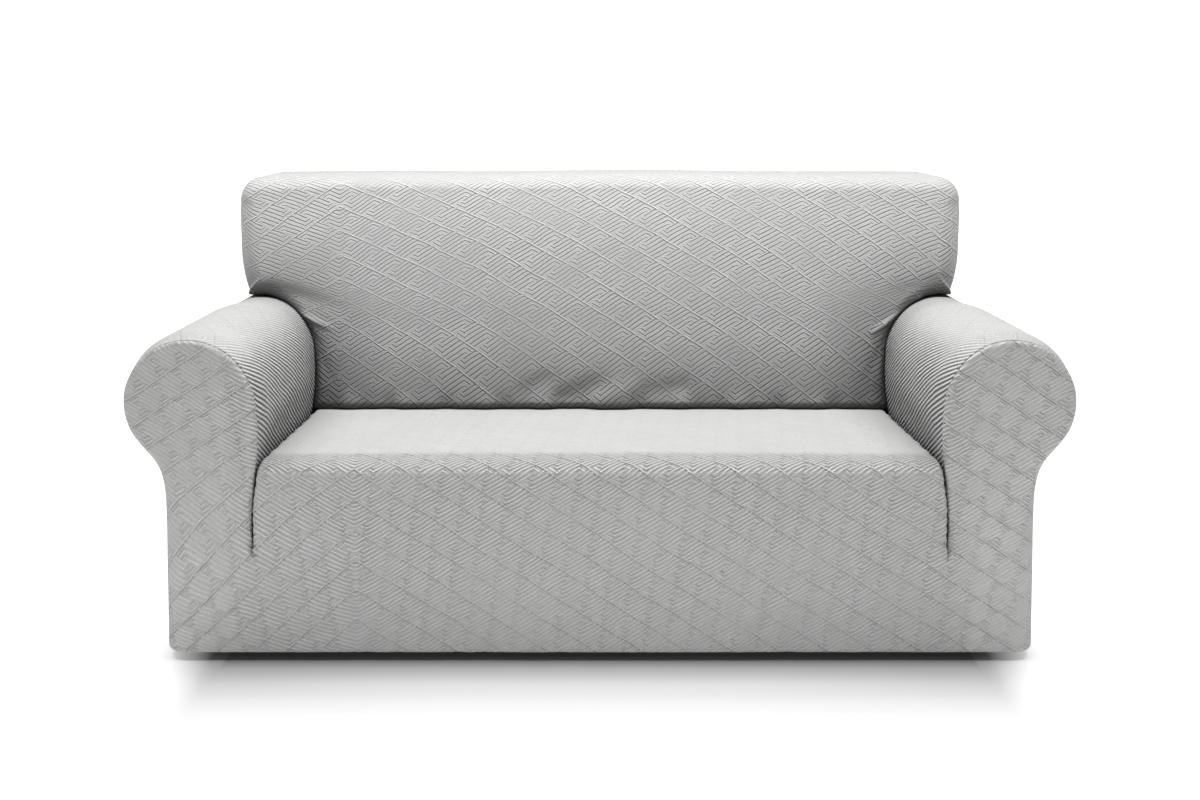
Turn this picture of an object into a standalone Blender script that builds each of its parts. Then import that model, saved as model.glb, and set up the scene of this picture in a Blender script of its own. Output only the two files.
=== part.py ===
"""Stretch slipcover of a rolled-arm sofa: five cloth panels that hang as one hollow cover.

Metres. -Y is the front, +X lies to the right of someone who looks at the front, +Z is up.
The hem lies at z = 0 and the cover is centred over the origin.
"""
import bmesh
import bpy
import numpy as np

# ---------------------------------------------------------------- driving sizes
CLOTH = 0.002                 # thickness of the knitted cloth
SEAM = 0.0003                 # space left between two panels at a seam
FRONT_Y = -0.424              # middle of the cloth on the front
REAR_Y = 0.4267               # middle of the cloth on the back
SIDE_SEAM_Y = 0.4067          # seam behind which the outside back starts
BASE_HALF = 0.8570            # half width of the base just under the arms
HEM_FLARE = 0.0080            # how far the base widens down to the hem
ROLL_X, ROLL_Z, ROLL_R = 0.7965, 0.505, 0.1250  # rolled arm: centre and radius
ROLL_SWELL = 0.0095           # how much fuller the roll is behind its facing
BACK_HALF = 0.863             # half width of the back above the arms
TOP_Z = 0.911                 # top of the back at its corners
TOP_CORNER = 0.062            # rounding of the two top corners
SEAT_Z = 0.387                # seat just behind its front edge
SEAT_DROP = 0.015             # how much lower the seat is at the back
SEAT_CROWN = 0.006            # how much the seat bulges in the middle
SEAT_EDGE = 0.025             # rounding of the seat's front edge
CREASE_Y = 0.068              # where the back's face meets the seat
TUCK_Y = 0.105                # end of the cloth tucked in behind that crease
BACK_LEAN = 0.155             # rearward lean of the back's face, metres per metre
SLIT_X = 0.6810               # middle line of the slit between arm and seat
SLIT_Z = 0.195                # lower end of that slit
TUCK_Z = 0.335                # bottom of the tuck between arm and seat
BASE_CORNER = 0.040           # rounding of the base's upright front corners
REAR_CORNER = 0.018           # rounding round the outside back
FACING_EDGE = 0.012           # rounding round the arm facing
HEM_ROLL = 0.009              # radius with which the hem turns under
HEM_TUCK = 0.016              # width of hem lying under the base
NEAR = CLOTH + SEAM           # middle to middle of two layers lying side by side
TUCK_SPACE = 0.0010           # further space between the layers inside the tuck
SEAT_ROUND = 0.014            # rounding along the seat's side edges
WELD = 2e-5                   # points closer than this are one

# ---------------------------------------------------------------- fineness of the grids
ACROSS = 24                   # cells across the inside back
SIDE_FINENESS = 0.34          # how much closer its cells lie near the arms
OUTSIDE_ACROSS = 10           # cells across the outside back
SKIRT_STEP = 0.085            # widest cell of the seat and skirt
QUARTER = (30.0, 60.0, 90.0)  # turns of a rounded edge after its first row, degrees

# ---------------------------------------------------------------- short tables
# inner side of the arm, from the slit up to the roll: height and distance from the middle
ARM_WALL = {"z": (0.195, 0.262, 0.335, 0.378, 0.420, 0.462, 0.505),
            "x": (0.6850, 0.6855, 0.6815, 0.6755, 0.6705, 0.6695, 0.6715)}
# side edge of the seat, from front to back
SEAT_SIDE = {"y": (-0.42, -0.30, -0.10, 0.11),
             "x": (0.6685, 0.6680, 0.6690, 0.6700)}
# front face of the seat above the slit's lower end: height and rounding of its side edges
SEAT_FACE = {"z": (SLIT_Z, 0.235, 0.275, 0.315, SEAT_Z - SEAT_EDGE),
             "round": (0.0, 0.005, 0.008, 0.011, 0.013)}
# rows of the seat from just behind its rounded front edge into the tuck behind it
SEAT_ROWS_Y = (-0.330, -0.240, -0.140, -0.050, 0.030, TUCK_Y - 0.001)
# share of the facing's rounding at the lowest stations of its inner side
INNER_FADE = (0.0, 0.55, 0.9)
# stations along the arm from its facing to its rear end, as shares
ARM_SHARES = (0, 0.02, 0.06, 0.13, 0.23, 0.34, 0.45, 0.56, 0.67, 0.78, 0.89, 1.0)
# angles round the roll, degrees: 180 is the inner side, 90 the top
ROLL_INNER = (168.75, 157.5, 146.25, 135.0)
ROLL_TOP = (118.0, 101.0, 84.0, 71.0, 64.0, 45.0)
ROLL_OUTER = (27.6, 10.2, -7.2, -24.6, -42.0)
NECK_Z = 0.345                # where the neck under the roll reaches the base
SIDE_Z = (0.270, 0.195)       # stations on the side of the base above the slit's end
LOW_Z = (0.135, 0.075, 0.030)  # stations from there down to the hem
# where the back meets the roll: end of the tucked cloth by angle
TUCK_LINE = {"angle": (180.0, 150.0, 135.0, 118.0, 101.0, 84.0, 71.0, 64.0),
             "y": (0.105, 0.112, 0.125, 0.148, 0.182, 0.235, 0.305, SIDE_SEAM_Y)}
# rounding of the back's face by angle round the roll: direction, inset and depth
BACK_ROUND = {"angle": (180.0, 150.0, 135.0, 118.0, 101.0, 84.0, 71.0, 64.0),
              "aim": (180.0, 155.0, 140.0, 132.0, 130.0, 133.0, 134.5, 134.0),
              "inset": (0.016, 0.020, 0.026, 0.036, 0.047, 0.065, 0.086, 0.099),
              "depth": (0.014, 0.016, 0.022, 0.034, 0.054, 0.086, 0.116, 0.130)}
WING_ANGLE = 66.5             # angle round the roll at which the side of the back leaves it
# side of the back above the roll, up to its top corner
WING = {"z": (0.631, 0.660, 0.704, 0.778, 0.849),
        "x": (0.8545, 0.8585, 0.8625, 0.8640, 0.8630),
        "aim": (135.0, 143.5, 159.0, 173.0, 180.0),
        "inset": (0.090, 0.079, 0.068, 0.062, 0.060),
        "depth": (0.128, 0.117, 0.106, 0.100, 0.098)}
# soft creases of the front skirt: each from its lower to its upper end, + is a ridge
SKIRT_CREASES = {
    "x0": (-0.461, -0.286, -0.231, 0.055, 0.312, 0.345, 0.376),
    "z0": (0.010, 0.010, 0.010, 0.110, 0.050, 0.050, 0.010),
    "x1": (-0.465, -0.284, -0.229, 0.043, 0.342, 0.384, 0.410),
    "z1": (0.235, 0.205, 0.160, 0.170, 0.130, 0.130, 0.100),
    "half": (0.014, 0.015, 0.015, 0.020, 0.013, 0.013, 0.013),
    "depth": (-0.0035, -0.0030, -0.0030, -0.0030, -0.0040, 0.0035, -0.0040)}
# folds of the back: the pulls that run from each arm, mirrored, and the dents over the seat
PULLS = {
    "x0": (0.716, 0.706, 0.690),
    "z0": (0.592, 0.577, 0.560),
    "x1": (0.640, 0.676, 0.640),
    "z1": (0.552, 0.533, 0.450),
    "half": (0.010, 0.011, 0.016),
    "depth": (0.011, -0.013, 0.006)}
DENTS = {
    "x0": (-0.165, -0.080, 0.020, 0.110),
    "z0": (0.420, 0.400, 0.402, 0.415),
    "x1": (-0.130, -0.020, 0.070, 0.190),
    "z1": (0.440, 0.425, 0.420, 0.425),
    "half": (0.022, 0.026, 0.024, 0.026),
    "depth": (-0.004, -0.006, 0.004, -0.004)}


# ---------------------------------------------------------------- small tools
def smooth(t):
    """Smooth step from 0 to 1 as t goes from 0 to 1."""
    t = np.clip(t, 0.0, 1.0)
    return t * t * (3.0 - 2.0 * t)


def creases(x, z, table):
    """Height of the soft creases at (x, z): a bump across each line, fading past its ends."""
    x, z = np.broadcast_arrays(x, z)
    height = np.zeros(x.shape)
    for x0, z0, x1, z1, half, depth in zip(*table.values()):
        along = np.array((x1 - x0, z1 - z0))
        length = np.hypot(*along)
        ux, uz = along / length
        s = (x - x0) * ux + (z - z0) * uz
        off = (x - x0) * -uz + (z - z0) * ux
        past = np.maximum(np.maximum(-s, s - length), 0.0)
        height += depth * np.exp(-(off / half) ** 2 - (past / (1.2 * half)) ** 2)
    return height


def roll_point(angle, radius=ROLL_R):
    """Point (x, z) on the right roll at an angle in degrees."""
    a = np.radians(angle)
    return ROLL_X + radius * np.cos(a), ROLL_Z + radius * np.sin(a)


def bezier(p0, p1, p2, p3, t):
    """Points of a cubic curve at the parameters t."""
    t = np.asarray(t)[:, None]
    p0, p1, p2, p3 = (np.asarray(p) for p in (p0, p1, p2, p3))
    return (1 - t) ** 3 * p0 + 3 * (1 - t) ** 2 * t * p1 + 3 * (1 - t) * t * t * p2 + t ** 3 * p3


def coons(bottom, top, left, right, share=None):
    """Grid [row, column] that fills four border curves which share their corners."""
    s = np.linspace(0, 1, len(bottom)) if share is None else share
    s = s[None, :, None]
    t = np.linspace(0, 1, len(left))[:, None, None]
    ruled = (1 - t) * bottom[None] + t * top[None] + (1 - s) * left[:, None] + s * right[:, None]
    corners = ((1 - s) * (1 - t) * bottom[0] + s * (1 - t) * bottom[-1]
               + (1 - s) * t * top[0] + s * t * top[-1])
    return ruled - corners


def outline_normals(points):
    """Unit normals of a clockwise (x, z) outline, pointing away from what it encloses."""
    step = np.gradient(points, axis=0)
    step /= np.linalg.norm(step, axis=1)[:, None]
    return np.stack((-step[:, 1], step[:, 0]), axis=1)


def lift(plan, y):
    """(x, z) points and their y as (x, y, z) points."""
    return np.stack((plan[..., 0], np.broadcast_to(y, plan.shape[:-1]), plan[..., 1]), axis=-1)


class Sheet:
    """Collects grids of points, welds them and gives the cloth its thickness."""

    def __init__(self):
        self.points = []
        self.faces = []
        self.count = 0

    def add(self, grid):
        """Add the grid[row, column] of points with a face in each of its cells."""
        rows, columns = grid.shape[:2]
        index = self.count + np.arange(rows * columns).reshape(rows, columns)
        quads = np.stack((index[:-1, :-1], index[:-1, 1:], index[1:, 1:], index[1:, :-1]), axis=-1)
        self.faces += quads.reshape(-1, 4).tolist()
        self.points.append(grid.reshape(-1, 3))
        self.count += rows * columns

    def make(self, name, material, collection):
        """Make the panel as a mesh object with a Solidify modifier."""
        mesh = bpy.data.meshes.new(name)
        mesh.from_pydata(np.concatenate(self.points).tolist(), [], self.faces)
        work = bmesh.new()
        work.from_mesh(mesh)
        bmesh.ops.remove_doubles(work, verts=work.verts, dist=WELD)
        bmesh.ops.recalc_face_normals(work, faces=work.faces)
        work.to_mesh(mesh)
        work.free()
        mesh.materials.append(material)
        mesh.shade_smooth()
        panel = bpy.data.objects.new(name, mesh)
        thickness = panel.modifiers.new("cloth thickness", "SOLIDIFY")
        thickness.thickness = CLOTH
        thickness.offset = 0.0
        collection.objects.link(panel)
        return panel


def cloth_material(name, grey):
    """Matt knitted cloth in a warm light grey."""
    material = bpy.data.materials.new(name)
    material.use_nodes = True
    shader = material.node_tree.nodes["Principled BSDF"]
    shader.inputs["Base Color"].default_value = (grey, grey * 0.985, grey * 0.975, 1.0)
    shader.inputs["Roughness"].default_value = 0.9
    shader.inputs["Metallic"].default_value = 0.0
    return material


# ---------------------------------------------------------------- the cover's form
def base_x(z):
    """Half width of the base at height z, a little wider at the hem."""
    return BASE_HALF + HEM_FLARE * np.clip((0.32 - z) / 0.32, 0, 1)


def seat_height(x, y):
    """Height of the seat: highest near its front edge and in the middle."""
    back = smooth((y - FRONT_Y) / (CREASE_Y - 0.02 - FRONT_Y))
    crown = SEAT_CROWN * (1 - (np.abs(x) / 0.67) ** 2.5) * np.sin(np.pi * np.clip(
        (y - FRONT_Y) / (CREASE_Y - 0.02 - FRONT_Y), 0, 1))
    return SEAT_Z - SEAT_DROP * back + crown


def front_y(x, z):
    """The front skirt, with its soft creases standing out or in."""
    return FRONT_Y - creases(x, z, SKIRT_CREASES) * smooth(z / 0.02)


def back_y(x, z):
    """Face of the back: leaning, slightly crowned, with its folds."""
    lean = CREASE_Y - 0.014 + BACK_LEAN * (z - 0.40)
    crown = 0.010 * (1 - (x / 0.8) ** 2) * np.sin(np.pi * np.clip((z - 0.36) / 0.56, 0, 1))
    return lean - crown - creases(np.abs(x), z, PULLS) - creases(x, z, DENTS)


def arm_outline():
    """Stations (x, z) of the right arm from the slit over the roll down to SLIT_Z outside.

    Returns the points and how many cells belong to the inner side, the top and the outer side.
    """
    wall = np.stack((ARM_WALL["x"], ARM_WALL["z"]), axis=1)
    inner = np.stack(roll_point(np.array(ROLL_INNER)), axis=1)
    top = np.stack(roll_point(np.array(ROLL_TOP)), axis=1)
    outer = np.stack(roll_point(np.array(ROLL_OUTER)), axis=1)
    tangent = np.array((np.sin(np.radians(ROLL_OUTER[-1])), -np.cos(np.radians(ROLL_OUTER[-1]))))
    neck = bezier(outer[-1], outer[-1] + 0.036 * tangent, (BASE_HALF, NECK_Z + 0.026),
                  (BASE_HALF, NECK_Z), (1 / 3, 2 / 3, 1.0))
    side = np.stack((base_x(np.array(SIDE_Z)), SIDE_Z), axis=1)
    points = np.concatenate((wall, inner, top, outer, neck, side))
    return points, len(wall) - 1 + len(inner), len(top), len(outer) + len(neck) + len(side)


OUTLINE, INNER_CELLS, TOP_CELLS, OUTER_CELLS = arm_outline()


def facing_round():
    """Rounding at each arm station: tight round the roll, wide at the base's corner."""
    rounding = np.full(len(OUTLINE), FACING_EDGE)
    outer = OUTLINE[-OUTER_CELLS:]
    rounding[-OUTER_CELLS:] += (BASE_CORNER - FACING_EDGE) * smooth((0.44 - outer[:, 1]) / 0.16)
    return rounding


ROUND = facing_round()


def slit_edge(z, side):
    """Edge of the slit at height z: side -1 is the seat's edge, +1 the arm's."""
    middle = SLIT_X - 0.0085 * smooth((z - 0.29) / 0.09)
    return middle + side * (0.0030 * smooth((z - SLIT_Z) / 0.045) + 0.0016 * smooth((z - 0.28) / 0.09))


def hem_rows(edge, inward):
    """Rows that turn the cloth under: edge[:, 3] at HEM_ROLL height, inward[:, 2] in plan."""
    rows = []
    for turn in np.radians(QUARTER):
        shift = HEM_ROLL * (1 - np.cos(turn))
        rows.append(hem_row(edge, inward, shift, HEM_ROLL * (1 - np.sin(turn))))
    rows.append(hem_row(edge, inward, HEM_TUCK, 0.0))
    return rows


def hem_row(edge, inward, shift, height):
    """One row of the hem, moved inward by shift and at the given height."""
    row = edge.copy()
    row[:, :2] += inward * shift
    row[:, 2] = height + CLOTH / 2
    return row


# ---------------------------------------------------------------- seat, skirt and arm facings
def facing_grids(side):
    """Front grid and edge ring of one arm facing, side +1 or -1."""
    normals = outline_normals(OUTLINE)
    normals[0] = (-1.0, 0.0)
    normals[-1] = (1.0, 0.0)
    rounding = ROUND.copy()
    low = len(INNER_FADE)
    rounding[:low] *= INNER_FADE
    outline = OUTLINE.copy()
    outline[:low, 0] = slit_edge(outline[:low, 1], 1)
    inset = outline - normals * rounding[:, None]
    left = inset[:INNER_CELLS + 1]
    top = inset[INNER_CELLS:INNER_CELLS + TOP_CELLS + 1]
    right = inset[INNER_CELLS + TOP_CELLS:][::-1]
    bottom = np.stack((np.linspace(left[0, 0], right[0, 0], TOP_CELLS + 1),
                       np.full(TOP_CELLS + 1, SLIT_Z)), axis=1)
    plan = coons(bottom, top, left, right)
    grid = lift(plan, FRONT_Y)
    ring = []
    for turn in np.radians((0.0, *QUARTER)):
        plan_row = outline - normals * (rounding * (1 - np.sin(turn)))[:, None]
        ring.append(lift(plan_row, FRONT_Y + rounding * (1 - np.cos(turn))))
    ring = np.stack(ring)
    for part in (grid, ring):
        part[..., 0] *= side
    return grid, ring


def tuck_bottom(rows):
    """Bottom of the tuck between arm and seat, (y, z), for a share 0..1 of its front bend."""
    return bezier((FRONT_Y + 0.012, SLIT_Z + 0.012), (-0.400, 0.260), (-0.385, 0.325),
                  (-0.330, TUCK_Z), rows)


def skirt_columns():
    """Places of the columns across the seat, -1 to 1: even, with more of them at the creases."""
    half = SLIT_X
    middle = (np.array(SKIRT_CREASES["x0"]) + np.array(SKIRT_CREASES["x1"])) / 2
    wide = np.array(SKIRT_CREASES["half"])
    marks = np.sort(np.concatenate(((-half,), middle - 1.1 * wide, middle, middle + 1.1 * wide, (half,))))
    columns = [-half]
    for mark in marks[1:]:
        gap = mark - columns[-1]
        if gap < 0.010:
            continue
        cells = int(np.ceil(gap / SKIRT_STEP))
        columns += list(columns[-1] + gap * np.arange(1, cells + 1) / cells)
    return np.array(columns) / half


def build_seat_front(collection):
    """Seat, front skirt and both arm facings, cut as one cloth with two slits."""
    sheet = Sheet()
    share = skirt_columns()
    # rows of the middle tongue: front face, rounded edge, seat
    face_z = np.array(SEAT_FACE["z"])
    bend = np.radians(QUARTER)
    deck_y = np.array(SEAT_ROWS_Y)
    edge_y = np.concatenate((np.full(len(face_z), FRONT_Y), FRONT_Y + SEAT_EDGE * (1 - np.cos(bend)),
                             deck_y))
    edge_z = np.concatenate((face_z, SEAT_Z - SEAT_EDGE * (1 - np.sin(bend)), deck_y * 0))
    normal_y = np.concatenate((np.full(len(face_z), -1.0), -np.cos(bend), deck_y * 0))
    normal_z = np.concatenate((np.zeros(len(face_z)), np.sin(bend), deck_y * 0 + 1))
    faces = len(face_z)
    side_round = np.full(len(edge_y), SEAT_ROUND)
    side_round[:faces] = SEAT_FACE["round"]
    half = slit_edge(edge_z, -1)
    half[faces:] = np.interp(edge_y[faces:], SEAT_SIDE["y"], SEAT_SIDE["x"])
    flat_half = half - side_round
    x = flat_half[:, None] * share[None, :]
    y = edge_y[:, None] + 0 * x
    z = edge_z[:, None] + 0 * x
    y[:faces] = front_y(x[:faces], z[:faces])
    seat = seat_height(x, y)
    z[faces:] += np.where(edge_z[faces:, None] > 0, seat[faces:] - SEAT_Z, seat[faces:])
    tongue = np.stack((x, y, z), axis=-1)
    sheet.add(tongue)
    # side rings of the tongue, down into the tuck
    bottom = tuck_bottom(np.linspace(0, 1, faces + 4))
    for side in (-1, 1):
        edge = tongue[:, 0 if side < 0 else -1]
        ring = [edge]
        for turn in np.radians((45.0, 90.0)):
            row = edge.copy()
            row[:, 0] += side * side_round * np.sin(turn)
            row[:, 1] -= normal_y * side_round * (1 - np.cos(turn))
            row[:, 2] -= normal_z * side_round * (1 - np.cos(turn))
            ring.append(row)
        low = ring[-1].copy()
        low[:len(bottom), 1:] = bottom
        low[len(bottom):, 2] = TUCK_Z
        reach = arm_wall_x(low[:, 2]) - NEAR - TUCK_SPACE
        reach[:3] = np.minimum(reach[:3], half[:3] + 1.5 * TUCK_SPACE)
        low[:, 0] = side * reach
        ring.append(low)
        ring = np.stack(ring)
        ring[1:, 0] = edge[0]
        sheet.add(ring if side > 0 else ring[::-1])
    # arm facings
    bottoms = {}
    for side in (-1, 1):
        grid, ring = facing_grids(side)
        bottoms[side] = np.concatenate((grid[0], ring[1:, -1]))
        sheet.add(grid)
        sheet.add(ring)
    # skirt below the slits, round both front corners
    top_row = np.concatenate((bottoms[-1][::-1], tongue[0, 1:-1], bottoms[1]))
    turn_in = np.zeros((len(top_row), 2))
    turn_in[:, 1] = 1.0
    for k, turn in enumerate(np.radians(QUARTER)):
        turn_in[2 - k] = (np.sin(turn), np.cos(turn))
        turn_in[len(top_row) - 3 + k] = (-np.sin(turn), np.cos(turn))
    rows = [top_row]
    for height in (*LOW_Z, HEM_ROLL + CLOTH / 2):
        row = top_row.copy()
        row[:, 2] = height
        widen = base_x(height) - base_x(SLIT_Z)
        row[:, 0] += np.sign(row[:, 0]) * widen * smooth((np.abs(row[:, 0]) - 0.3) / 0.5)
        front = turn_in[:, 1] == 1.0
        row[front, 1] = front_y(row[front, 0], row[front, 2])
        rows.append(row)
    rows += hem_rows(rows[-1], turn_in)
    sheet.add(np.stack(rows))
    return sheet.make("seat_front", cloth_material("seat and skirt cloth", 0.60), collection)


def arm_wall_x(z):
    """Distance of the arm's inner side from the middle at height z."""
    return np.interp(z, ARM_WALL["z"], ARM_WALL["x"])


# ---------------------------------------------------------------- arms
def build_arm(name, side, collection):
    """One arm panel: out of the tuck, up the inner side, over the roll, down to the hem."""
    share = np.array(ARM_SHARES)
    low = np.stack((base_x(np.array(LOW_Z)), LOW_Z), axis=1)
    hem_edge = np.array([(base_x(0.0), HEM_ROLL + CLOTH / 2)])
    profile = np.concatenate((OUTLINE, low, hem_edge))
    rounding = np.concatenate((ROUND, np.full(len(low) + 1, BASE_CORNER)))
    start = FRONT_Y + rounding + SEAM
    end = np.full(len(profile), SIDE_SEAM_Y - SEAM)
    angles = np.concatenate((np.full(len(ARM_WALL["z"]), 180.0), ROLL_INNER, ROLL_TOP))
    end[:len(angles)] = np.interp(-angles, -np.array(TUCK_LINE["angle"]), TUCK_LINE["y"]) - SEAM
    y = start[:, None] + (end - start)[:, None] * share[None, :]
    x = profile[:, 0][:, None] + 0 * y
    z = profile[:, 1][:, None] + 0 * y
    # the inner side starts at the bottom of the tuck
    walls = len(ARM_WALL["z"])
    fine = tuck_bottom(np.linspace(0, 1, 40))
    floor_z = np.interp(y[:walls], fine[:, 0], fine[:, 1])
    floor_z[:, 0] = SLIT_Z + 0.004
    rise = (z[:walls] - ARM_WALL["z"][0]) / (ARM_WALL["z"][-1] - ARM_WALL["z"][0])
    z[:walls] = floor_z + rise * (ARM_WALL["z"][-1] - floor_z)
    x[:walls] = arm_wall_x(z[:walls])
    # the roll is fuller than its facing and slims down again towards the back
    over = np.stack((x - ROLL_X, z - ROLL_Z), axis=-1)
    radius = np.linalg.norm(over, axis=-1)
    full = smooth((y - start[:, None]) / 0.05) * smooth((0.04 - y) / 0.26)
    full *= smooth((z - 0.40) / 0.08) * ROLL_SWELL / radius
    x += over[..., 0] * full
    z += over[..., 1] * full
    grid = np.stack((x, y, z), axis=-1)
    edge = grid[-1]
    inward = np.tile((-1.0, 0.0), (len(edge), 1))
    rows = np.concatenate((grid, np.stack(hem_rows(edge, inward))))
    rows[..., 0] *= side
    sheet = Sheet()
    sheet.add(rows)
    return sheet.make(name, cloth_material(name + " cloth", 0.63), collection)


# ---------------------------------------------------------------- inside back
def top_height(x):
    """Height of the top edge: a little higher in the middle, not quite even."""
    s = x / (BACK_HALF - TOP_CORNER)
    return TOP_Z + 0.0030 * (1 - s * s) + 0.0012 * np.sin(7.0 * s + 0.8) * (1 - s ** 4)


def back_side():
    """Right side of the back's outline, from the seat corner to the top corner.

    Columns: x, z, direction in degrees in which the rounding is set in, its inset and depth,
    and the y at which the cloth ends.
    """
    crease_z = SEAT_Z - SEAT_DROP + NEAR + 0.0004
    beside = NEAR + 1.4 * TUCK_SPACE
    first = (arm_wall_x(crease_z) - beside, crease_z, 135.0, 0.0225, 0.014, TUCK_Y)
    wall = [(arm_wall_x(z) - beside, z, 180.0, 0.016, 0.014, TUCK_Y) for z in ARM_WALL["z"][4:]]
    contact = []
    for angle in ROLL_INNER + ROLL_TOP[:4] + (WING_ANGLE,):
        x, z = roll_point(angle, ROLL_R + NEAR + np.interp(angle, (64, 71), (0.0040, 0.0008)))
        rounding = [np.interp(-angle, -np.array(BACK_ROUND["angle"]), BACK_ROUND[column])
                    for column in ("aim", "inset", "depth")]
        tuck = np.interp(-angle, -np.array(TUCK_LINE["angle"]), TUCK_LINE["y"])
        contact.append((x, z, *rounding, min(tuck, SIDE_SEAM_Y - 0.0015)))
    wing = [(x, z, aim, inset, depth, SIDE_SEAM_Y - SEAM)
            for z, x, aim, inset, depth in zip(*WING.values())]
    corner = []
    for turn in (30.0, 60.0):
        a = np.radians(turn)
        corner.append((BACK_HALF - TOP_CORNER * (1 - np.cos(a)), TOP_Z - TOP_CORNER * (1 - np.sin(a)),
                       180.0 + turn, 0.058, 0.096, SIDE_SEAM_Y - SEAM))
    return np.array([first] + wall + contact + wing + corner)


def build_inside_back(collection):
    """Face, top and sides of the back in one cloth, tucked in along the seat and the arms."""
    side = back_side()
    rows = len(side)
    even = np.linspace(-1, 1, ACROSS + 1)
    share = even * (1 + SIDE_FINENESS * (1 - even ** 2))
    bottom = np.tile(side[0], (ACROSS + 1, 1))
    bottom[:, 0] = side[0, 0] * share
    bottom[1:-1, 2:4] = (90.0, 0.016)
    bottom[1:-1, 0] = (side[0, 0] - 0.016) * share[1:-1]
    top = np.tile(side[-1], (ACROSS + 1, 1))
    top[1:-1, 0] = share[1:-1] / share[-2] * (BACK_HALF - TOP_CORNER)
    top[1:-1, 1] = top_height(top[1:-1, 0])
    top[1:-1, 2] = 270.0
    mirror = np.array((-1, 1, 1, 1, 1, 1))
    left = side * mirror
    left[:, 2] = 180.0 - side[:, 2]
    bottom[0], top[0] = left[0], left[-1]
    loop = np.concatenate((left, top[1:-1], side[::-1], bottom[::-1][1:]))
    aim = np.radians(loop[:, 2])
    inward = np.stack((np.cos(aim), np.sin(aim)), axis=1) * loop[:, 3:4]
    inner = loop[:, :2] + inward
    left_in = inner[:rows]
    top_in = inner[rows - 1:rows + ACROSS]
    right_in = inner[rows - 1 + ACROSS:2 * rows - 1 + ACROSS][::-1]
    bottom_in = inner[2 * rows - 2 + ACROSS:][::-1]
    grid = coons(bottom_in, top_in, left_in, right_in, (share + 1) / 2)
    # rows run level in the middle and bend to the arms only near the sides
    level = bottom_in[0, 1] + (top_in[ACROSS // 2, 1] - bottom_in[0, 1]) * np.linspace(0, 1, rows)
    side_z = left_in[:, 1]
    bend = np.abs(share) ** 3
    grid[1:-1, 1:-1, 1] = (level[:, None] + (side_z - level)[:, None] * bend[None, :])[1:-1, 1:-1]
    sheet = Sheet()
    sheet.add(lift(grid, back_y(grid[..., 0], grid[..., 1])))
    start_y = back_y(inner[:, 0], inner[:, 1])
    ring = []
    for turn in np.radians((0.0, *QUARTER)):
        plan = loop[:, :2] + inward * (1 - np.sin(turn))
        ring.append(lift(plan, start_y + loop[:, 4] * (1 - np.cos(turn))))
    end = ring[-1].copy()
    end[:, 1] = loop[:, 5]
    sheet.add(np.stack(ring + [end]))
    return sheet.make("inside_back", cloth_material("inside back cloth", 0.58), collection)


# ---------------------------------------------------------------- outside back
def build_outside_back(collection):
    """Plain panel down the back, rounded over to the side seams, with its hem turned under."""
    low = np.stack((base_x(np.array(LOW_Z[::-1])), LOW_Z[::-1]), axis=1)
    hem_edge = np.array([(base_x(0.0), HEM_ROLL + CLOTH / 2)])
    outer = OUTLINE[::-1][:OUTER_CELLS + 2]
    wing = np.stack((WING["x"], WING["z"]), axis=1)
    turn = np.radians((30.0, 60.0))
    corner = np.stack((BACK_HALF - TOP_CORNER * (1 - np.cos(turn)),
                       TOP_Z - TOP_CORNER * (1 - np.sin(turn))), axis=1)
    side = np.concatenate((hem_edge, low, outer, wing, corner))
    columns = OUTSIDE_ACROSS
    share = np.linspace(-1, 1, columns + 1)
    top_x = np.linspace(-1, 1, columns - 1) * (BACK_HALF - TOP_CORNER)
    top = np.stack((top_x, top_height(top_x)), axis=1)
    top = np.concatenate((side[-1:] * (-1, 1), top, side[-1:]))
    left = side * (-1, 1)
    outline = np.concatenate((left, top[1:-1], side[::-1]))
    normals = outline_normals(outline)
    normals[0], normals[-1] = (-1.0, 0.0), (1.0, 0.0)
    inset = outline - normals * REAR_CORNER
    rows = len(side)
    left_in = inset[:rows]
    right_in = inset[-rows:][::-1]
    top_in = inset[rows - 1:rows + columns]
    bottom_in = left_in[0] + (right_in[0] - left_in[0]) * ((share + 1) / 2)[:, None]
    grid = lift(coons(bottom_in, top_in, left_in, right_in), REAR_Y)
    ring = []
    for turn in np.radians((0.0, 45.0, 90.0)):
        plan = outline - normals * (REAR_CORNER * (1 - np.sin(turn)))
        depth = (REAR_Y - SIDE_SEAM_Y - SEAM) * (1 - np.cos(turn))
        ring.append(lift(plan, REAR_Y - depth))
    ring = np.stack(ring)
    sheet = Sheet()
    sheet.add(grid)
    sheet.add(ring)
    edge = np.concatenate((ring[::-1, 0], grid[0, 1:-1], ring[:, -1]))
    turn_in = np.zeros((len(edge), 2))
    turn_in[:, 1] = -1.0
    for k, turn in enumerate(np.radians((0.0, 45.0, 90.0))):
        turn_in[2 - k] = (np.sin(turn), -np.cos(turn))
        turn_in[len(edge) - 3 + k] = (-np.sin(turn), -np.cos(turn))
    sheet.add(np.stack([edge] + hem_rows(edge, turn_in)))
    return sheet.make("outside_back", cloth_material("outside back cloth", 0.60), collection)


def main():
    """Clear the scene and build the five panels."""
    for thing in list(bpy.data.objects):
        bpy.data.objects.remove(thing, do_unlink=True)
    collection = bpy.data.collections.new("sofa slipcover")
    bpy.context.scene.collection.children.link(collection)
    build_inside_back(collection)
    build_outside_back(collection)
    build_seat_front(collection)
    build_arm("arm_left", -1, collection)
    build_arm("arm_right", 1, collection)


main()
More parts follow.
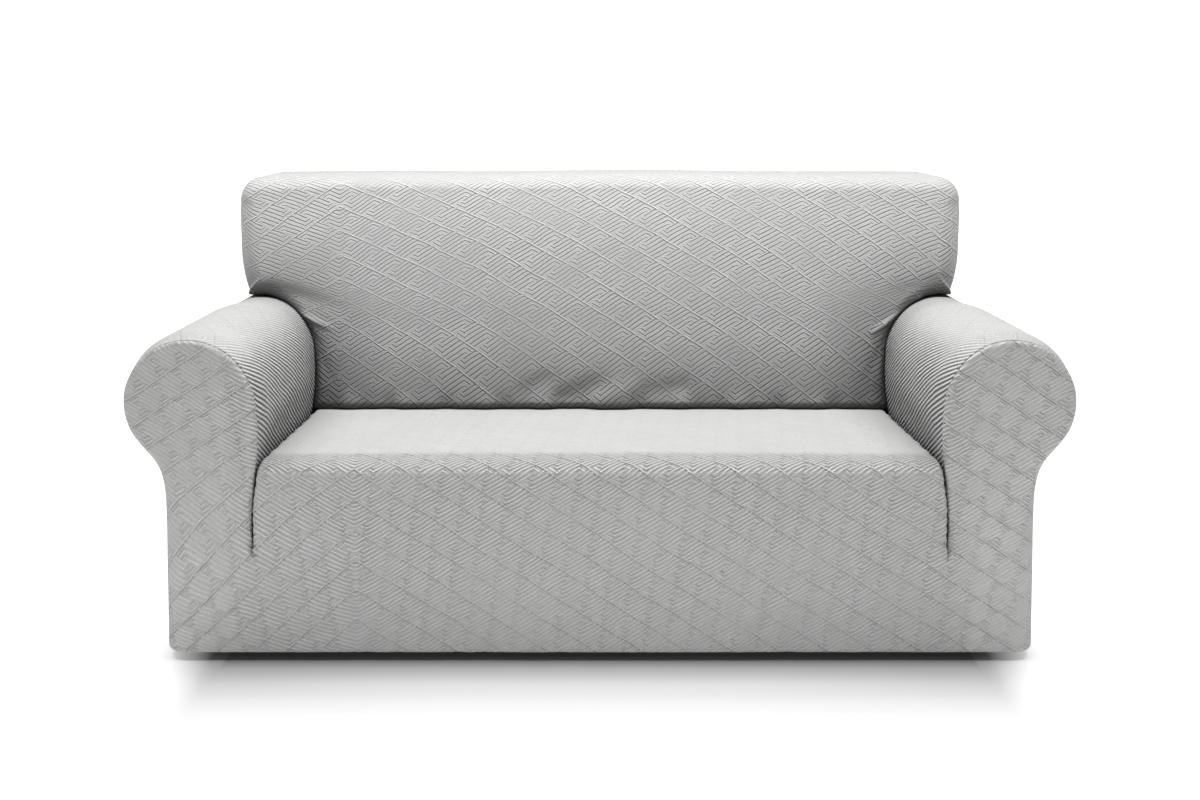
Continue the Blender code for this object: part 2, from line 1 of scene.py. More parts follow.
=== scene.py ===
# %% [markdown]
# # A stretch slipcover for a rolled-arm sofa
#
# The object is one fitted cover, sewn from five panels of a stretch jacquard knit: the inside
# back, the outside back, the seat with its front skirt and arm facings, and two arm panels.
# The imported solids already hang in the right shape, so each panel here is the same surface on
# a finer grid, with its creases, its turned seams and the woven-in key pattern added.
# Every shape is a grid worked out with numpy, because a slipcover is a set of smooth sheets
# that run from one short list of sizes to the next.

import bmesh
import bpy
import numpy as np
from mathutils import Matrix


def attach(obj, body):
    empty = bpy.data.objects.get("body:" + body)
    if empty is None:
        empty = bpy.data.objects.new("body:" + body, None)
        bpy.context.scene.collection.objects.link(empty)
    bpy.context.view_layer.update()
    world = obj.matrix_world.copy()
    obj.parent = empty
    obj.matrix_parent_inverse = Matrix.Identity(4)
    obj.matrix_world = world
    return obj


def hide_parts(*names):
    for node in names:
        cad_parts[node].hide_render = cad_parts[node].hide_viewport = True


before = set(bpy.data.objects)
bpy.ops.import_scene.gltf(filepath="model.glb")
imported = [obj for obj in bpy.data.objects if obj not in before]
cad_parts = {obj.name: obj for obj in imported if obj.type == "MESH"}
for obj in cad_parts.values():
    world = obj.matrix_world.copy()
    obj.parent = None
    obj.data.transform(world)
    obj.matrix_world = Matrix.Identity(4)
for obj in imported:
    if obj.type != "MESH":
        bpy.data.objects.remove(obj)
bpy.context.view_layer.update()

print("panels:", sorted(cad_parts))

# %% [markdown]
# ## The camera
#
# The cover is seen from the front, a little above the middle, by a camera that looks 7 degrees
# down. Its lens is as wide as its sensor, so the view spans as many metres as it is far away,
# and a small upward shift frames the cover as in a catalogue picture.

# %% Camera
CAMERA_PLACE = (0.0, -2.689, 1.076)
CAMERA_DOWN = np.radians(7.0)
CAMERA_SHIFT = -0.1214


def put(name, data):
    """A new object with this camera, mesh or light, linked into the scene."""
    thing = bpy.data.objects.new(name, data)
    bpy.context.scene.collection.objects.link(thing)
    return thing


camera = put("camera", bpy.data.cameras.new("camera"))
camera.location = CAMERA_PLACE
camera.rotation_euler = (np.pi / 2 - CAMERA_DOWN, 0.0, 0.0)
camera.data.lens = camera.data.sensor_width = 36.0
camera.data.shift_y = CAMERA_SHIFT
bpy.context.scene.camera = camera
print("camera at", CAMERA_PLACE)

# %% [markdown]
# ## The sizes of the cover
#
# These are the named sizes that the solids were drawn from, in metres. -Y is the front, +X lies
# to the right of someone who looks at the front, and the hem is at z = 0.

# %% Sizes
CLOTH = 0.002                 # thickness of the knit
SEAM = 0.0003                 # space between two panels at a seam
FRONT_Y = -0.424              # middle of the cloth on the front
REAR_Y = 0.4267               # middle of the cloth on the back
SIDE_SEAM_Y = 0.4067          # seam behind which the outside back starts
BASE_HALF = 0.8570            # half width of the base just under the arms
HEM_FLARE = 0.0080            # how far the base widens down to the hem
ROLL_X, ROLL_Z, ROLL_R = 0.7965, 0.505, 0.1250
ROLL_SWELL = 0.0095           # how much fuller the roll is behind its facing
BACK_HALF = 0.863             # half width of the back above the arms
TOP_Z = 0.911                 # top of the back at its corners
TOP_CORNER = 0.062            # rounding of the two top corners
SEAT_Z = 0.387                # seat just behind its front edge
SEAT_DROP = 0.015             # how much lower the seat is at the back
SEAT_CROWN = 0.006            # how much the seat bulges in the middle
SEAT_EDGE = 0.020             # height of the rounding of the seat's front edge
SEAT_SLOPE = 0.050            # depth of that rounding: it slopes gently, then turns over
CREASE_Y = 0.068              # where the back's face meets the seat
TUCK_Y = 0.105                # end of the cloth tucked in behind that crease
BACK_LEAN = 0.155             # rearward lean of the back's face, metres per metre
SLIT_X = 0.6810               # middle line of the slit between arm and seat
SLIT_Z = 0.195                # lower end of that slit
TUCK_Z = 0.335                # bottom of the tuck between arm and seat
BASE_CORNER = 0.040           # rounding of the base's upright front corners
REAR_CORNER = 0.018           # rounding round the outside back
FACING_EDGE = 0.007           # rounding round the arm facing
INNER_EDGE = 0.018            # the same low down on the facing's inner side
HEM_ROLL = 0.009              # radius with which the hem turns under
HEM_TUCK = 0.016              # width of hem lying under the base
NEAR = CLOTH + SEAM           # middle to middle of two layers lying side by side
TUCK_SPACE = 0.0010           # further space between the layers inside the tuck
SEAT_ROUND = 0.012            # rounding along the seat's side edges
WELD = 2e-5                   # points closer than this are one
print(f"cover about {2 * (ROLL_X + ROLL_R + ROLL_SWELL):.2f} m wide over its arms")

# %% [markdown]
# ## Short tables of stations
#
# A maker's pattern is a few measured stations joined by fair curves. So are these: the inner
# side of an arm, the angles round its roll, and how deep the cloth is tucked in at each angle.

# %% Stations
ARM_WALL = {"z": (0.195, 0.262, 0.335, 0.378, 0.420, 0.462, 0.505),
            "x": (0.6850, 0.6855, 0.6815, 0.6755, 0.6705, 0.6695, 0.6715)}
SEAT_SIDE = {"y": (-0.42, -0.30, -0.10, 0.11),
             "x": (0.6685, 0.6680, 0.6690, 0.6700)}
SEAT_FACE = {"z": (SLIT_Z, 0.235, 0.275, 0.315, SEAT_Z - SEAT_EDGE),
             "round": (0.0, 0.004, 0.006, 0.009, 0.011)}
INNER_FADE = (0.0, 0.35, 0.8)  # share of the facing's rounding at its first stations
# where an arm's columns lie between its front and its rear
ARM_SHARES = (0, 0.02, 0.06, 0.13, 0.23, 0.34, 0.45, 0.56, 0.67, 0.78, 0.89, 1.0)
ROLL_INNER = (168.75, 157.5, 146.25, 135.0)
ROLL_TOP = (118.0, 101.0, 84.0, 71.0, 64.0, 45.0)
ROLL_OUTER = (27.6, 10.2, -7.2, -24.6, -42.0)
NECK_Z = 0.345                # where the neck under the roll reaches the base
SIDE_Z = (0.270, 0.195)
LOW_Z = (0.135, 0.075, 0.030)
# round the roll: end of the tucked cloth, and aim, inset and depth of the back's rounded border
ROLL_TABLE = {"angle": (180.0, 150.0, 135.0, 118.0, 101.0, 84.0, 71.0, 64.0),
              "end": (0.105, 0.112, 0.125, 0.148, 0.182, 0.235, 0.305, SIDE_SEAM_Y),
              "aim": (180.0, 155.0, 140.0, 132.0, 130.0, 133.0, 134.5, 134.0),
              "inset": (0.014, 0.016, 0.020, 0.026, 0.034, 0.048, 0.066, 0.078),
              "depth": (0.012, 0.013, 0.017, 0.024, 0.038, 0.064, 0.105, 0.130)}
WING_ANGLE = 66.5             # angle round the roll at which the side of the back leaves it
WING = {"z": (0.631, 0.660, 0.704, 0.778, 0.849),
        "x": (0.8500, 0.8560, 0.8615, 0.8640, 0.8630),
        "aim": (135.0, 143.5, 159.0, 173.0, 180.0),
        "inset": (0.078, 0.072, 0.066, 0.060, 0.054),
        "depth": (0.145, 0.128, 0.110, 0.100, 0.090)}
print("stations round the roll:", len(ROLL_INNER) + len(ROLL_TOP) + len(ROLL_OUTER))

# %% [markdown]
# ## The creases
#
# Stretch cloth is never quite smooth. Each crease here is a soft line from (x0, z0) to (x1, z1)
# with a half width and a depth; + stands out and - lies in. The skirt has creases where the cloth
# hangs free near the hem, the back has pulls that taper away from each arm, and dents over the
# seat.

# %% Crease tables
# x0, z0, x1, z1, half width and depth of each, in millimetres
SKIRT_CREASES = (
    (-493, 10, -493, 110, 12, -2), (-461, 10, -465, 235, 11, -3.6),
    (-404, 10, -404, 170, 12, -2), (-286, 10, -284, 205, 12, -3), (-256, 10, -252, 130, 11, 2),
    (-231, 10, -229, 160, 12, -3), (-79, 10, -49, 110, 12, -2.5), (-128, 20, -108, 110, 12, 2),
    (55, 110, 43, 170, 17, -3), (272, 20, 315, 130, 13, 3), (309, 50, 345, 130, 11, -4),
    (345, 50, 388, 130, 12, 3.2), (374, 10, 410, 100, 11, -4), (503, 20, 508, 160, 13, 2),
    (590, 20, 604, 120, 14, -1.2), (-600, 30, -612, 150, 14, -1.2))
# beside each arm: a ridge, the valley under it and two soft hollows
PULLS = (
    (752, 628, 640, 554, 6.2, 12), (738, 602, 664, 532, 6.6, -9.5), (790, 664, 690, 640, 20, -5),
    (688, 560, 618, 440, 15, -5), (-736, 609, -634, 564, 7, 11.5),
    (-716, 582, -660, 530, 8, -9.5), (-770, 650, -620, 612, 21, -8),
    (-690, 560, -630, 450, 15, -5))
DENTS = (
    (-165, 420, -130, 440, 22, -4), (-80, 400, -20, 425, 26, -6), (20, 402, 70, 420, 24, 4),
    (110, 415, 190, 425, 26, -4))
# on the outer side of an arm, where x stands for the depth y
SIDE_CREASES = (
    (-330, 10, -322, 180, 13, -2.5), (-180, 10, -190, 240, 14, -3.2), (40, 10, 52, 150, 13, 2.4),
    (215, 10, 205, 260, 15, -3.4), (330, 10, 340, 170, 13, -2.2))
print("creases:", sum(len(table) for table in (SKIRT_CREASES, PULLS, DENTS, SIDE_CREASES)))

# %% [markdown]
# ## Tools for shapes
#
# A fair curve through the stations makes a coarse table fine. A Coons patch fills four border
# curves. Both are plain array sums, so thousands of points cost one line.

# %% Curve and patch tools
def smooth(t):
    """Smooth step: 3 t^2 - 2 t^3, held at 0 below t = 0 and at 1 above t = 1."""
    t = np.clip(t, 0.0, 1.0)
    return t * t * (3.0 - 2.0 * t)


def refine(stations, cells):
    """Fair curve through the stations, with so many cells in each gap.

    Each gap is a cubic that leaves and arrives with the slope of the chords on both sides,
    measured along the first two columns.
    """
    chord = np.linalg.norm(np.diff(stations[:, :2], axis=0), axis=1)
    slope = np.gradient(stations, np.concatenate(((0.0,), np.cumsum(chord))), axis=0)
    cells = np.broadcast_to(cells, len(chord))
    gap = np.repeat(np.arange(len(chord)), cells)
    t = ((np.arange(len(gap)) - (np.cumsum(cells) - cells)[gap]) / cells[gap])[:, None]
    start, end = slope[gap] * chord[gap, None], slope[gap + 1] * chord[gap, None]
    curve = ((2 * t ** 3 - 3 * t ** 2 + 1) * stations[gap] + (t ** 3 - 2 * t ** 2 + t) * start
             + (3 * t ** 2 - 2 * t ** 3) * stations[gap + 1] + (t ** 3 - t ** 2) * end)
    return np.vstack((curve, stations[-1:]))


def read(at, xs, ys):
    """Value at a place on the fair curve through a table's two columns."""
    curve = refine(np.stack((xs, ys), axis=1), 8)
    return np.interp(at, curve[:, 0], curve[:, 1])


def creases(x, z, table, taper=0.0):
    """Sum of soft lines: depth * exp(-(distance across / half)^2 - (distance past its end)^2).

    taper is the share of its depth that a line loses on its way from start to end.
    """
    x, z = np.broadcast_arrays(x, z)
    height = np.zeros(x.shape)
    for x0, z0, x1, z1, half, depth in np.array(table) / 1000:
        length = np.hypot(x1 - x0, z1 - z0)
        ux, uz = (x1 - x0) / length, (z1 - z0) / length
        along = (x - x0) * ux + (z - z0) * uz
        across = (x - x0) * -uz + (z - z0) * ux
        past = np.maximum(np.maximum(-along, along - length), 0.0)
        left = 1.0 - taper * np.clip(along / length, 0.0, 1.0)
        height += depth * left * np.exp(-(across / half) ** 2 - (past / (1.2 * half)) ** 2)
    return height


def uneven(a, b, size):
    """Slow waves in two directions, about +-1 times size, so that no face is dead flat."""
    return size * (0.45 * np.sin(9.1 * a + 3.7 * b + 0.6) + 0.35 * np.sin(5.3 * a - 14.2 * b + 1.9)
                   + 0.20 * np.sin(23.0 * a + 11.0 * b + 4.0))


def coons(bottom, top, left, right, share=None):
    """Patch between four border curves: both ruled surfaces added, less the bilinear one."""
    s = np.linspace(0, 1, len(bottom)) if share is None else share
    s = s[None, :, None]
    t = np.linspace(0, 1, len(left))[:, None, None]
    ruled = (1 - t) * bottom[None] + t * top[None] + (1 - s) * left[:, None] + s * right[:, None]
    corners = ((1 - s) * (1 - t) * bottom[0] + s * (1 - t) * bottom[-1]
               + (1 - s) * t * top[0] + s * t * top[-1])
    return ruled - corners


def outward(points):
    """Unit normals of a clockwise (x, z) outline: its direction turned a quarter left."""
    step = np.gradient(points, axis=0)
    step /= np.linalg.norm(step, axis=1)[:, None]
    return np.stack((-step[:, 1], step[:, 0]), axis=1)


def lift(plan, y):
    """(x, z) points and their y as (x, y, z) points."""
    return np.stack((plan[..., 0], np.broadcast_to(y, plan.shape[:-1]), plan[..., 1]), axis=-1)


def run(grid, axis=0):
    """Length of cloth from the first row or column to each point: the summed distances."""
    step = np.linalg.norm(np.diff(grid, axis=axis), axis=-1)
    return np.concatenate((np.zeros_like(np.take(step, [0], axis)), np.cumsum(step, axis)), axis)


print("a gap of 1 at its middle:", refine(np.array([[0.0, 0.0], [1.0, 1.0]]), 2)[1].tolist())

# %% [markdown]
# ## From grids to one sheet of cloth
#
# A panel is a few grids that share their borders. Each grid also carries, for every point, its
# place (u, v) on the flat cloth in metres, so that the knitted pattern follows the cloth round
# every edge. The grids are welded, and Solidify gives the knit its 2 mm.

# %% Cloth builder
class Cloth:
    """Collects grids of points with their flat places and makes one welded sheet of them."""

    def __init__(self):
        self.points, self.flat, self.pull, self.faces, self.count = [], [], [], [], 0

    def add(self, grid, u, v, seam_line_and_slit_shade=0.0, opened_ground_shade=0.0):
        """Take in grid[row, column, 3] whose points lie at (u, v) on the flat cloth.

        seam_line_and_slit_shade says from 0 to 1 how dark the seam's line and the painted shade
        beside the slit are there, and opened_ground_shade how far its loops are stretched apart,
        so that the darker ground shows, which also paints the shade inside and beside the arms.
        """
        rows, columns = grid.shape[:2]
        index = self.count + np.arange(rows * columns).reshape(rows, columns)
        quads = np.stack((index[:-1, :-1], index[:-1, 1:], index[1:, 1:], index[1:, :-1]), axis=-1)
        self.faces.append(quads.reshape(-1, 4))
        self.points.append(grid.reshape(-1, 3))
        self.flat.append(np.stack(np.broadcast_arrays(u, v), axis=-1).reshape(-1, 2))
        pull = np.stack([np.broadcast_to(p, grid.shape[:2]) for p in (seam_line_and_slit_shade, opened_ground_shade)])
        self.pull.append(pull.reshape(2, -1))
        self.count += rows * columns

    def make(self, name, material):
        """Make the panel: weld its borders, point its faces one way and give it thickness."""
        faces = np.concatenate(self.faces)
        mesh = bpy.data.meshes.new(name)
        mesh.from_pydata(np.concatenate(self.points), [], faces)
        layer = mesh.uv_layers.new(name="flat_cloth")
        layer.data.foreach_set("uv", np.concatenate(self.flat)[faces.ravel()].ravel())
        for kind, values in zip(("seam_line_and_slit_shade", "opened_ground_shade"), np.concatenate(self.pull, axis=1)):
            mesh.attributes.new(kind, "FLOAT", "POINT").data.foreach_set("value", values)
        work = bmesh.new()
        work.from_mesh(mesh)
        bmesh.ops.remove_doubles(work, verts=work.verts, dist=WELD)
        bmesh.ops.dissolve_degenerate(work, edges=work.edges, dist=WELD)
        bmesh.ops.recalc_face_normals(work, faces=work.faces)
        work.to_mesh(mesh)
        work.free()
        mesh.materials.append(material)
        mesh.shade_smooth()
        panel = put(name, mesh)
        thickness = panel.modifiers.new("knit_thickness", "SOLIDIFY")
        thickness.thickness = CLOTH
        thickness.offset = 0.0
        print(f"{name}: {len(mesh.polygons)} cells")
        return panel


def quarter(steps):
    """Turns of a rounded edge from 0 to 90 degrees, in radians."""
    return np.linspace(0.0, np.pi / 2, steps + 1)


# %% [markdown]
# ## How the cloth is cut and the pattern laid
#
# The left part of the cover is cut with the pattern turned over, so that both arms match like a
# pair. On the flat cloth that is a mirror line: left of it, u runs back.

# %% Laying the pattern
SKIRT_MIRROR_X = -0.480
BACK_MIRROR_X = -0.610
ARM_EDGE_X = 0.684            # where the facing's inner edge lies on the flat cloth


def stretched(u, v):
    """Pattern height v, as the back's knit is stretched more low down and most low on the right."""
    low = np.clip((0.86 - v) / 0.40, 0.0, 1.0)
    return v + 0.34 * (v - 0.642) ** 2 + 0.075 * low * np.sign(u) * u * u


def skewed(u, v):
    """Pattern lift left of the mirror line, where the skirt's knit hangs askew near the hem."""
    return 0.26 * np.maximum(SKIRT_MIRROR_X - u, 0.0) * smooth((0.42 - v) / 0.36)


def turned(u, line):
    """u, or its mirror image 2 line - u where u is left of the line."""
    return np.where(u < line, 2 * line - u, u)


def skirt_place(u, v, height=None):
    """Where the knit of seat and skirt lies flat: turned over at its line and hanging askew."""
    return turned(u, SKIRT_MIRROR_X), v + skewed(u, v if height is None else height)


def back_place(u, v):
    """Where the knit of the back lies flat: turned over at its line and stretched."""
    return turned(u, BACK_MIRROR_X), stretched(u, v)


print("pattern turned over left of", SKIRT_MIRROR_X, "and", BACK_MIRROR_X)

# %% [markdown]
# ## The weave: a key pattern knitted in relief
#
# Stretch jacquard is a double knit. Its pattern is in the relief: narrow lines 7 to 9 mm apart,
# further apart where the cloth is stretched more. They follow the old Greek key: long lines one
# way, bundles of shorter ones across, each ending in a hook. One repeat is a slanted cell with
# the sides A (up to the right) and B (down to the right), so the material first turns (u, v) into
# steps (s, t) along A and B, then asks how far it is to the nearest line.

# %% Colour and node tools
def linear(hex_colour):
    """sRGB hex to linear RGBA: ((c + 0.055) / 1.055)^2.4, or c / 12.92 for dark values."""
    c = np.array([int(hex_colour[k:k + 2], 16) / 255 for k in (1, 3, 5)])
    c = np.where(c > 0.04045, ((c + 0.055) / 1.055) ** 2.4, c / 12.92)
    return (*c.tolist(), 1.0)


def add(tree, kind, *inputs, **settings):
    """Add a node, set its properties and fill or join its inputs in their order.

    kind may name an operation behind a space. An input is a value, a node (its first output is
    joined), a socket, or None to leave it.
    """
    kind, *operation = kind.split()
    node = tree.nodes.new("ShaderNode" + kind)
    if operation:
        node.operation = operation[0]
    for key, value in settings.items():
        setattr(node, key, value)
    for socket, value in zip(node.inputs, inputs):
        if isinstance(value, bpy.types.Node):
            tree.links.new(value.outputs[0], socket)
        elif isinstance(value, bpy.types.NodeSocket):
            tree.links.new(value, socket)
        elif value is not None:
            socket.default_value = value
    return node


def new_material(name, values):
    """A material with uniform values on its shader's sockets: it, its node tree and shader."""
    material = bpy.data.materials.new(name)
    material.use_nodes = True
    shader = material.node_tree.nodes["Principled BSDF"]
    for socket, value in values.items():
        shader.inputs[socket].default_value = value
    return material, material.node_tree, shader


print("a light grey in linear light:", np.round(linear("#c8c6c6")[:3], 3).tolist())

# %% The repeat, charted
# lines along A, six in a cell: where each starts and ends, in shares of A
A_START = (0.06, 0.06, 0.07, 0.45, 1 / 3, 1 / 6)
A_END = (1.0, 5 / 6, 0.62, 1.0, 1.0, 1.0)
# hooks along B: none at 0 and 3 sixths of A; where each starts and ends, in shares of B
HOOK_START = (1.0, 0.50, 0.49, 1.0, 1 / 3, 1 / 6)
HOOK_END = (0.0, 5 / 6, 2 / 3, 0.0, 0.40, 0.42)
# the long line along B at each whole step of A has one short gap
GAP_MIDDLE, GAP_HALF = 0.6225, 0.0475


def chart(tree, place, starts, ends):
    """Start (red) and end (green) of the line whose number of sixths is nearest to place."""
    ramp = add(tree, "ValToRGB", place)
    ramp.color_ramp.interpolation = "CONSTANT"
    stops = ramp.color_ramp.elements
    while len(stops) < 7:
        stops.new(1.0)
    for k, stop in enumerate(stops):
        stop.position = max(0.0, (k - 0.5) / 6)
        stop.color = (starts[k % 6], ends[k % 6], 0.0, 1.0)
    return add(tree, "SeparateColor", ramp)


def across_line(tree, place, pitch):
    """Signed distance in metres to the nearest whole step: (place - nearest) * pitch."""
    whole = add(tree, "Math ROUND", place)
    off = add(tree, "Math SUBTRACT", place, whole)
    return add(tree, "Math MULTIPLY", off, pitch)


def nearest_line(tree, place, along, starts, ends, pitch, length):
    """Distance in metres to the nearest of six charted lines of a cell.

    It is the length of two parts: the distance across to the nearest sixth of the cell, and how
    far the point lies before the line's start or past its end.
    """
    sixths = add(tree, "Math MULTIPLY", place, 6.0)
    found = chart(tree, add(tree, "Math FRACT", place), starts, ends)
    share = add(tree, "Math FRACT", along)
    before = add(tree, "Math SUBTRACT", found.outputs[0], share)
    past = add(tree, "Math SUBTRACT", share, found.outputs[1])
    out = add(tree, "Math MAXIMUM", before, past)
    out = add(tree, "Math MAXIMUM", out, 0.0)
    out = add(tree, "Math MULTIPLY", out, length)
    both = add(tree, "CombineXYZ", across_line(tree, sixths, pitch / 6), out, 0.0)
    return add(tree, "VectorMath LENGTH", both).outputs["Value"]


def long_line(tree, s, t, pitch):
    """Signed distance in metres to the nearest long line along B, and 1 except in its gap."""
    turn = add(tree, "Math ADD", t, 0.5 - GAP_MIDDLE)
    turn = add(tree, "Math FRACT", turn)
    turn = add(tree, "Math SUBTRACT", turn, 0.5)
    turn = add(tree, "Math ABSOLUTE", turn)
    drawn = add(tree, "MapRange", turn, GAP_HALF * 0.8, GAP_HALF * 1.2, 0.0, 1.0)
    return across_line(tree, s, pitch), drawn


print("lines in a repeat:", len(A_START) + sum(a < b for a, b in zip(HOOK_START, HOOK_END)) + 1)

# %% [markdown]
# ## The knit as a material
#
# Polyester jacquard is matt: a rough surface with a little sheen from its fibre ends. Its pattern
# is relief, and its low yarns are a little darker, so it shows where light grazes it and nearly
# fades where light falls straight on it. How the short lines lie depends on how the knit is
# stretched. On the back they are sunk with a low rim, on the seat and skirt they stand up as thin
# ribs, and on the arms they are channels between round ribs. A long line is a ridge with a
# groove along its lower side. A fine grain stands for single stitches.
#
# The colour darkens in three ways. Ambient occlusion paints shade in folds and corners.
# seam_line_and_slit_shade draws the seam's dark line over the roll and paints shade beside the
# slit. opened_ground_shade darkens the ground between ribs that are pulled apart, and with it
# paints the shade on the arms' inner sides, on the back beside them and in the relief over the
# seat's front edge. The pattern also drifts by a few millimetres and fades in soft patches, as
# the cloth gives unevenly.

# %% Jacquard material
LONG_REACH = 0.0016           # from the middle of a long line to its groove and its ridge, metres
SHORT_REACH = 0.27            # from the middle of a short line to its rim, as a share of the pitch
LEVEL = 0.6                   # height beside a long line, where 0 is the deepest and 1 a ridge
HOOK_DIP = 0.08               # how far the ground dips beside a hook that stands up
DRIFTS = ((0.16, 0.0060), (0.035, 0.0016))     # size of each drift and how far it goes, metres
PATCHES = 9.0                 # soft patches per metre
GRAIN = 1 / 0.0026            # grain spots per metre: coarser than the 1 mm stitches, to show
GRAIN_DEPTH = 0.0004          # relief of the grain, metres
FOLD_SHADE_REACH = 0.20             # how far away a fold or corner still paints shade into the colour, metres
FOLD_SHADE_LEAST, SEAM_AND_SLIT_SHADE_LEAST, GROUND_SHADE_LEAST = 0.16, 0.16, 0.22     # the least colour left by painted fold shade, by the seam line and painted slit shade, and by the ground of pulled ribs
# heights across a short line at equal steps outwards from its middle; the last is plain cloth
SUNK = (0.0, 0.75, 0.60)             # a deep line with a low rim
RAISED = (1.0, 0.50, 0.38, 0.56)     # a thin rib standing up from the ground
CHANNEL = (0.0, 0.55, 1.0, 0.38)     # the channel between two round ribs


def profile(tree, place, heights):
    """Soft curve through heights at equal steps, read at a place from 0 to 1."""
    ramp = add(tree, "ValToRGB", place)
    ramp.color_ramp.interpolation = "EASE"
    stops = ramp.color_ramp.elements
    while len(stops) < len(heights):
        stops.new(0.5)
    for stop, k, height in zip(stops, range(len(heights)), heights):
        stop.position, stop.color = k / (len(heights) - 1), (height, height, height, 1.0)
    return ramp


def short_line(tree, distance, reach, line):
    """Height across a short line, whose heights lie one reach apart from its middle outwards."""
    share = add(tree, "Math MULTIPLY", distance, 1 / (reach * (len(line) - 1)))
    return profile(tree, share, line)


def ridged_line(tree, across, drawn, reach, groove):
    """Height across a long line: a ridge on its upper side and a groove on its lower side."""
    share = add(tree, "MapRange", across, -2 * reach, 2 * reach, 0.0, 1.0)
    height = profile(tree, share, (LEVEL, LEVEL - groove, LEVEL, 1.0, LEVEL))
    return add(tree, "Mix", drawn, None, LEVEL, height, data_type="FLOAT")


